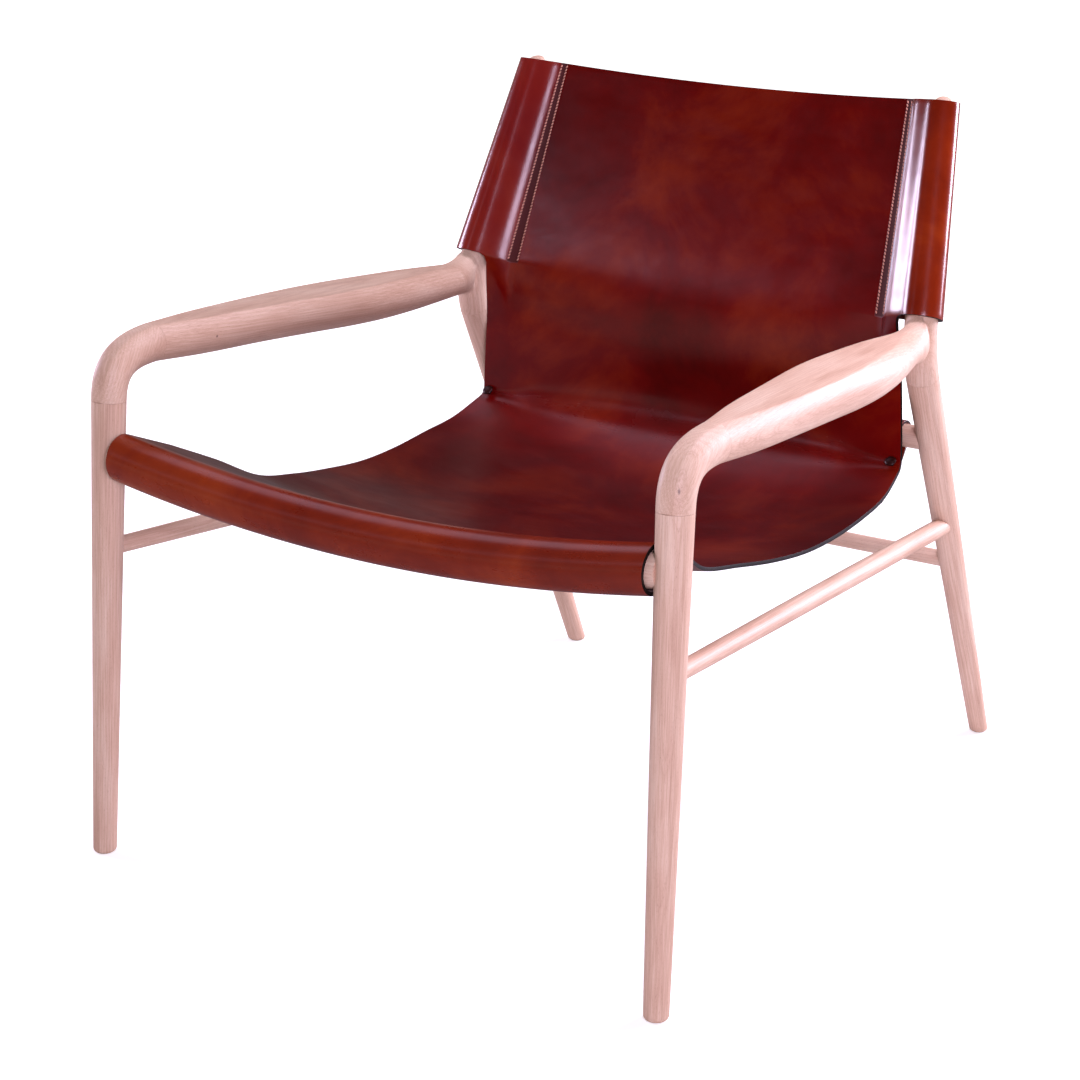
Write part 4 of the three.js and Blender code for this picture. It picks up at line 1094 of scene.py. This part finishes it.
def makeSheet(name, halfRows, thickness, sewnRows=0):
    rows = [[p and mirrored(p) for p in reversed(row[1:])] + row for row in halfRows]
    middle = len(halfRows[0]) - 1
    probe = middle + sp["lengthColumn"]
    lengths = [0]
    for a, b in zip(rows, rows[1:]):
        lengths.append(lengths[-1] + (b[probe] - a[probe]).length)
    shape = bmesh.new()
    layer = shape.loops.layers.uv.new("flat")
    seamLayer = shape.loops.layers.uv.new("seam")
    firstSewn = len(rows) - sewnRows
    grid, across = [], []
    for row in rows:
        verts = [p and shape.verts.new(p) for p in placed(row)]
        reach = [0] * len(row)
        for step in (1, -1):
            at = middle
            while 0 <= at + step < len(row) and row[at + step]:
                reach[at + step] = reach[at] + step * (row[at + step] - row[at]).length
                at += step
        grid.append(verts)
        across.append(reach)

    def besideStitches(a, b):   # distance from the seam, in half widths of it
        share = max(0, a - firstSewn) / max(1, sewnRows - 1)
        offset = mix(sp["stitchOffsetBottom"], sp["stitchOffsetTop"], share)
        return (abs(across[a][b]) - across[a][middle + innerSteps]) / offset

    for i in range(len(rows) - 1):
        for j in range(len(rows[0]) - 1):
            corners = [(i, j), (i, j + 1), (i + 1, j + 1), (i + 1, j)]
            if all(grid[a][b] for a, b in corners):
                face = shape.faces.new([grid[a][b] for a, b in corners])
                for loop, (a, b) in zip(face.loops, corners):
                    loop[layer].uv = (across[a][b] * mm, lengths[a] * mm)
                    loop[seamLayer].uv = (besideStitches(a, b), 1 if sewnRows and a >= firstSewn else 0)
    bmesh.ops.remove_doubles(shape, verts=shape.verts, dist=2e-6)
    bmesh.ops.dissolve_degenerate(shape, edges=shape.edges, dist=1e-6)
    area = sum(face.calc_area() for face in shape.faces)
    piece = newPiece(name, shape)
    for material in (grainSide, fleshSide, edgePaint):
        piece.data.materials.append(material)
    useModifier(piece, "SOLIDIFY", thickness=thickness * mm, offset=0, use_even_offset=True,
                use_quality_normals=True, material_offset=1, material_offset_rim=2)
    rounding = sp["edgeRounding"] * thickness / sp["leather"]
    useModifier(piece, "BEVEL", width=rounding * mm, segments=4, limit_method="ANGLE",
                angle_limit=math.radians(60), use_clamp_overlap=True, material=0)
    smoothShade(piece, 60)
    widest = max(row[-1] - row[0] for row in across)
    print(name, "width", round(widest * mm, 4), "length", round(lengths[-1] * mm, 4),
          "area", round(area, 4), "faces", len(piece.data.polygons))
    return piece


sling = makeSheet("leatherSling", slingRows(), sp["leather"], upperRows + 1)
handOver(sling, ["sling"])
print("sling made")


# Lumbar strap: two layers under the seat, parting behind the crease to go round the middle rail

strapPlan = {
    "leather": 3, "endSpread": 528, "loopSpread": 504, "slack": 0.8, "gap": 0.5,
    "lapStart": 0.9, "flat": (0.544, 0.262), "flatArea": 0.136,
}
tp = strapPlan
upperDepth = sp["leather"] / 2 + tp["gap"] + tp["leather"] / 2
lowerDepth = upperDepth + tp["leather"] + tp["gap"]


def underTurn(share, column, narrowing, depth):
    place, along = turnRow(share, column, narrowing)
    return place + along.cross(aside).normalized() * depth


def strapColumn(column):
    u = plainColumns[column]
    narrowing = tp["endSpread"] / sp["turnSpread"]
    lapEnd = turnShares(u * narrowing)[0]
    layers, steps = [], 8
    for depth in (lowerDepth, upperDepth):
        lap = [underSeat(mix(tp["lapStart"], lapEnd, i / steps), u * narrowing, depth) for i in range(steps)]
        layers.append(lap + [underTurn(i / turnSteps, column, narrowing, depth)
                             for i in range(turnSteps // 2 + 1)])
    lower, upper = layers
    centre = Vector((u * tp["loopSpread"] / 2, middleRailAtLeg.y, middleRailAtLeg.z))
    radius = rp["middleRadius"] + tp["slack"] + tp["leather"] / 2
    first = tangentTurn(centre, lower[-1], radius, 1)
    last = tangentTurn(centre, upper[-1], radius, -1) + math.pi * 2
    arc = arcPoints(centre, radius, first, last, 36)
    return lower + line(lower[-1], arc[0], steps) + arc + line(arc[-1], upper[-1], steps) + upper[::-1]


strapColumns = [strapColumn(column) for column in range(len(plainColumns))]
strapRows = [[column[i] for column in strapColumns] for i in range(len(strapColumns[0]))]
strap = makeSheet("lumbarStrap", strapRows, tp["leather"])
handOver(strap, ["lumbar_strap"])
print("strap made")


# Stitches: two rows up each sleeve, through the panel and the hem behind it

stitchPlan = {"pitch": 3.7, "length": 3.5, "width": 1.8, "height": 1.4, "slant": 26, "endGap": 3}


def stitchShape(plan):   # one stitch along X, a thread that dips into the leather at both ends
    deselect()
    bpy.ops.mesh.primitive_uv_sphere_add(
        segments=8, ring_count=5, radius=1, rotation=(0, math.radians(90), 0))
    stitch = bpy.context.object
    applyAll(stitch)
    editMesh(stitch, "SELECT")
    bpy.ops.transform.resize(value=[plan[key] / 2 * mm for key in ("length", "width", "height")])
    bpy.ops.object.mode_set(mode="OBJECT")
    return stitch


def besideSeam(share, distance):   # on the leather's middle surface: the place, and the direction outwards
    path = [upperPoint(share, part) for part in innerShares[-3:]] + sleeveSection(share)[:bandSteps]
    at, step = 2, 1 if distance > 0 else -1
    left = abs(distance)
    while (path[at + step] - path[at]).length < left:
        left -= (path[at + step] - path[at]).length
        at += step
    outwards = (path[at + step] - path[at]).normalized()
    return path[at] + outwards * left, outwards * step


def sewRows(name, shape, plan, behind):
    seam = stitchPoint(1) - stitchPoint(0)
    shareStep, firstShare = plan["pitch"] / seam.length, plan["endGap"] / seam.length
    rows = bmesh.new()
    for side in (-1, 1):
        share = firstShare
        while share < 1 - firstShare:
            offset = mix(sp["stitchOffsetBottom"], sp["stitchOffsetTop"], share)
            offset *= leatherLook["rowsCentre"] + side * leatherLook["rowsHalf"]
            along = seam.normalized()
            if behind:
                place, outwards = stitchPoint(share) + outward * offset - forward * layerStep, outward
            else:
                place, outwards = besideSeam(share, offset)
            face = outwards.cross(along).normalized() * (-1 if behind else 1)
            place = place + face * (sp["leather"] / 2)
            along = Matrix.Rotation(math.radians(plan["slant"]), 3, face) @ along
            turn = Matrix((along, face.cross(along), face)).transposed().to_4x4()
            copy = shape.data.copy()
            copy.transform(Matrix.Translation(inScene(place)) @ turn)
            rows.from_mesh(copy)
            bpy.data.meshes.remove(copy)
            share += shareStep
    piece = newPiece(name, rows)
    cover(piece, waxedThread, 60)
    return piece


stitch = stitchShape(stitchPlan)
for side, behind in (("Front", False), ("Rear", True)):
    left = sewRows("stitches" + side + "Left", stitch, stitchPlan, behind)
    for piece in (left, mirrorCopy(left, "stitches" + side + "Right")):
        handOver(piece, [])
bpy.data.objects.remove(stitch)
print("stitches sewn")


# Rivets at the ends of the crease

rivetPlan = {
    "spread": 518, "tilt": 37, "headRadius": 6.2, "headHeight": 2.6, "shankRadius": 2,
    "capRadius": 5, "capHeight": 1.2, "headSeating": 5.5, "capSeating": 2, "rim": 0.4,
    "capShares": [(1, 0.02), (1, 0.8), (0.6, 1), (0, 1)],   # of the cap's height and radius
}


def makeRivet(name):
    vp = rivetPlan
    u = vp["spread"] / sp["turnSpread"]
    seatEnd, panelStart = turnShares(u)
    place, _ = bezier([seatPoint(seatEnd, u), seatPoint(1, u), plainPanel(panelStart, u)], 0.5)
    lean = math.radians(vp["tilt"])
    axis = Vector((0, -math.sin(lean), math.cos(lean)))
    face = sp["leather"] / 2 + vp["headSeating"]
    stack = lowerDepth + tp["leather"] / 2 + vp["capSeating"]
    heights = [(-stack - vp["capHeight"] * high, vp["capRadius"] * wide) for high, wide in vp["capShares"]]
    heights += [(-stack, vp["shankRadius"]), (face, vp["shankRadius"]), (face, vp["headRadius"])]
    for i in range(domeSteps + 1):
        turn = i / domeSteps * math.pi / 2
        heights.append((face + vp["rim"] + (vp["headHeight"] - vp["rim"]) * math.sin(turn),
                        vp["headRadius"] * max(0.02, math.cos(turn))))
    rings = [ringAt(place + axis * height, axis, radius, sides=32) for height, radius in heights]
    piece = extrudeRings(name, rings)
    cover(piece, rivetMetal, 50)
    return piece


rivetLeft = makeRivet("rivetLeft")
rivetRight = mirrorCopy(rivetLeft, "rivetRight")
handOver(rivetLeft, ["rivet_left"])
handOver(rivetRight, ["rivet_right"])
print("rivets made")


# Floor, surroundings and lamps

lightPlan = {
    "floorSize": 16, "floorGrey": 0.8, "glowNear": 0.5, "glowFar": 1.0, "glowReach": (0.8, 3.2),
    "fleckSize": 2.5, "fleckDepth": 0.02, "floorGloss": 0.3,
    "roomStrength": 0.3, "roomGloss": 0.02, "backdropGloss": 0.5, "backdropTop": (0.02, 0.24),
    "lamps": [   # name, place (metres), aimed at, size, power in watts, colour
        ("keyLamp", (2.24, -2.36, 1.44), (0, 0, 0.5), (0.9, 1.2), 66, "#eee0ff"),
        ("leftLamp", (-3.0, -0.35, 1.02), (0, 0.1, 0.65), (1.2, 0.5), 66, "#ece0ff"),
        ("rightLamp", (1.7, 2.6, 1.1), (0, 0, 0.5), (1.0, 1.4), 126, "#f1e6ff"),
        ("topLamp", (0.55, 0.35, 1.65), (0.3, 0, 0.5), (0.6, 0.6), 15, "#f1e6ff"),
        ("backLamp", (-1.7, 0.5, 2.8), (0, 0, 0.5), (1.5, 1.6), 12, "#f0e2ff"),
        ("hazeLamp", (-1.5, -2.75, 1.9), (0, 0, 0.5), (0.5, 0.4), 2.0, "#f0e2ff"),
    ],
}


def makeSurroundings(plan):
    world = bpy.data.worlds.new("studio")
    bpy.context.scene.world = world
    world.use_nodes = True
    world.cycles.sampling_method = "NONE"   # each kind of ray meets the brightness that is meant for it
    world.node_tree.nodes.clear()
    add = partial(addNode, world)
    rays = add("LightPath")
    seen = add("Math", {0: (rays, "Is Camera Ray"), 1: (rays, "Is Transmission Ray")}, operation="MAXIMUM")
    height = add("SeparateXYZ", {0: (add("TexCoord"), "Generated")})
    low, high = plan["backdropTop"]
    glossy = add("MapRange", {   # gloss meets the white backdrop, and a dim studio above it
        "Value": (height, "Z"), "From Min": low, "From Max": high, "To Min": plan["backdropGloss"],
        "To Max": plan["roomGloss"]}, interpolation_type="SMOOTHSTEP")
    room = add("Mix", {
        "Factor": (rays, "Is Glossy Ray"), "A": plan["roomStrength"], "B": glossy}, data_type="FLOAT")
    plain = add("Background", {"Color": (1, 1, 1, 1), "Strength": room})
    white = add("Background", {"Color": (1, 1, 1, 1), "Strength": 1.0})
    add("OutputWorld", {"Surface": add("MixShader", {0: seen, 1: plain, 2: white})})

    deselect()
    bpy.ops.mesh.primitive_plane_add(size=plan["floorSize"])
    floor = bpy.context.object
    floor.name = "floor"
    # Uncoated backdrop paper: an even, matt white that takes a soft shadow, with its fibres drawn coarser
    paper, add = newMaterial("whitePaper")
    rays = add("LightPath")
    place = add("TexCoord")
    fleck = add("TexNoise", {"Vector": (place, "Object"), "Scale": 1 / (plan["fleckSize"] * mm)})
    grey = add("MapRange", {
        "Value": fleck, "To Min": plan["floorGrey"] - plan["fleckDepth"],
        "To Max": plan["floorGrey"] + plan["fleckDepth"]})
    dimmed = add("MapRange", {   # gloss meets a dim floor, as in the photograph
        "Value": (rays, "Is Glossy Ray"), "To Min": 1.0, "To Max": plan["floorGloss"]})
    shade = add("Math", {0: grey, 1: dimmed}, operation="MULTIPLY")
    diffuse = add("BsdfDiffuse", {"Color": shade})
    away = add("VectorMath", {0: (place, "Object")}, operation="LENGTH")
    near, far = plan["glowReach"]
    rising = add("MapRange", {
        "Value": (away, "Value"), "From Min": near, "From Max": far, "To Min": plan["glowNear"],
        "To Max": plan["glowFar"]}, interpolation_type="SMOOTHSTEP")
    seen = add("Math", {0: (rays, "Is Camera Ray"), 1: (rays, "Is Transmission Ray")}, operation="MAXIMUM")
    glow = add("Math", {0: seen, 1: rising}, operation="MULTIPLY")
    both = add("AddShader", {0: diffuse, 1: add("Emission", {"Strength": glow})})
    add("OutputMaterial", {"Surface": both})
    floor.data.materials.append(paper)

    for name, spot, target, size, power, colour in plan["lamps"]:
        direction = Vector(target) - Vector(spot)
        bpy.ops.object.light_add(type="AREA", location=spot,
                                 rotation=direction.to_track_quat("-Z", "Y").to_euler())
        lamp = bpy.context.object
        lamp.name = name
        lamp.data.shape = "RECTANGLE"
        lamp.data.size, lamp.data.size_y = size
        lamp.data.energy = power
        lamp.data.color = linear(colour)[:3]


makeSurroundings(lightPlan)
print("surroundings made")

bpy.context.scene.view_settings.view_transform = "Standard"
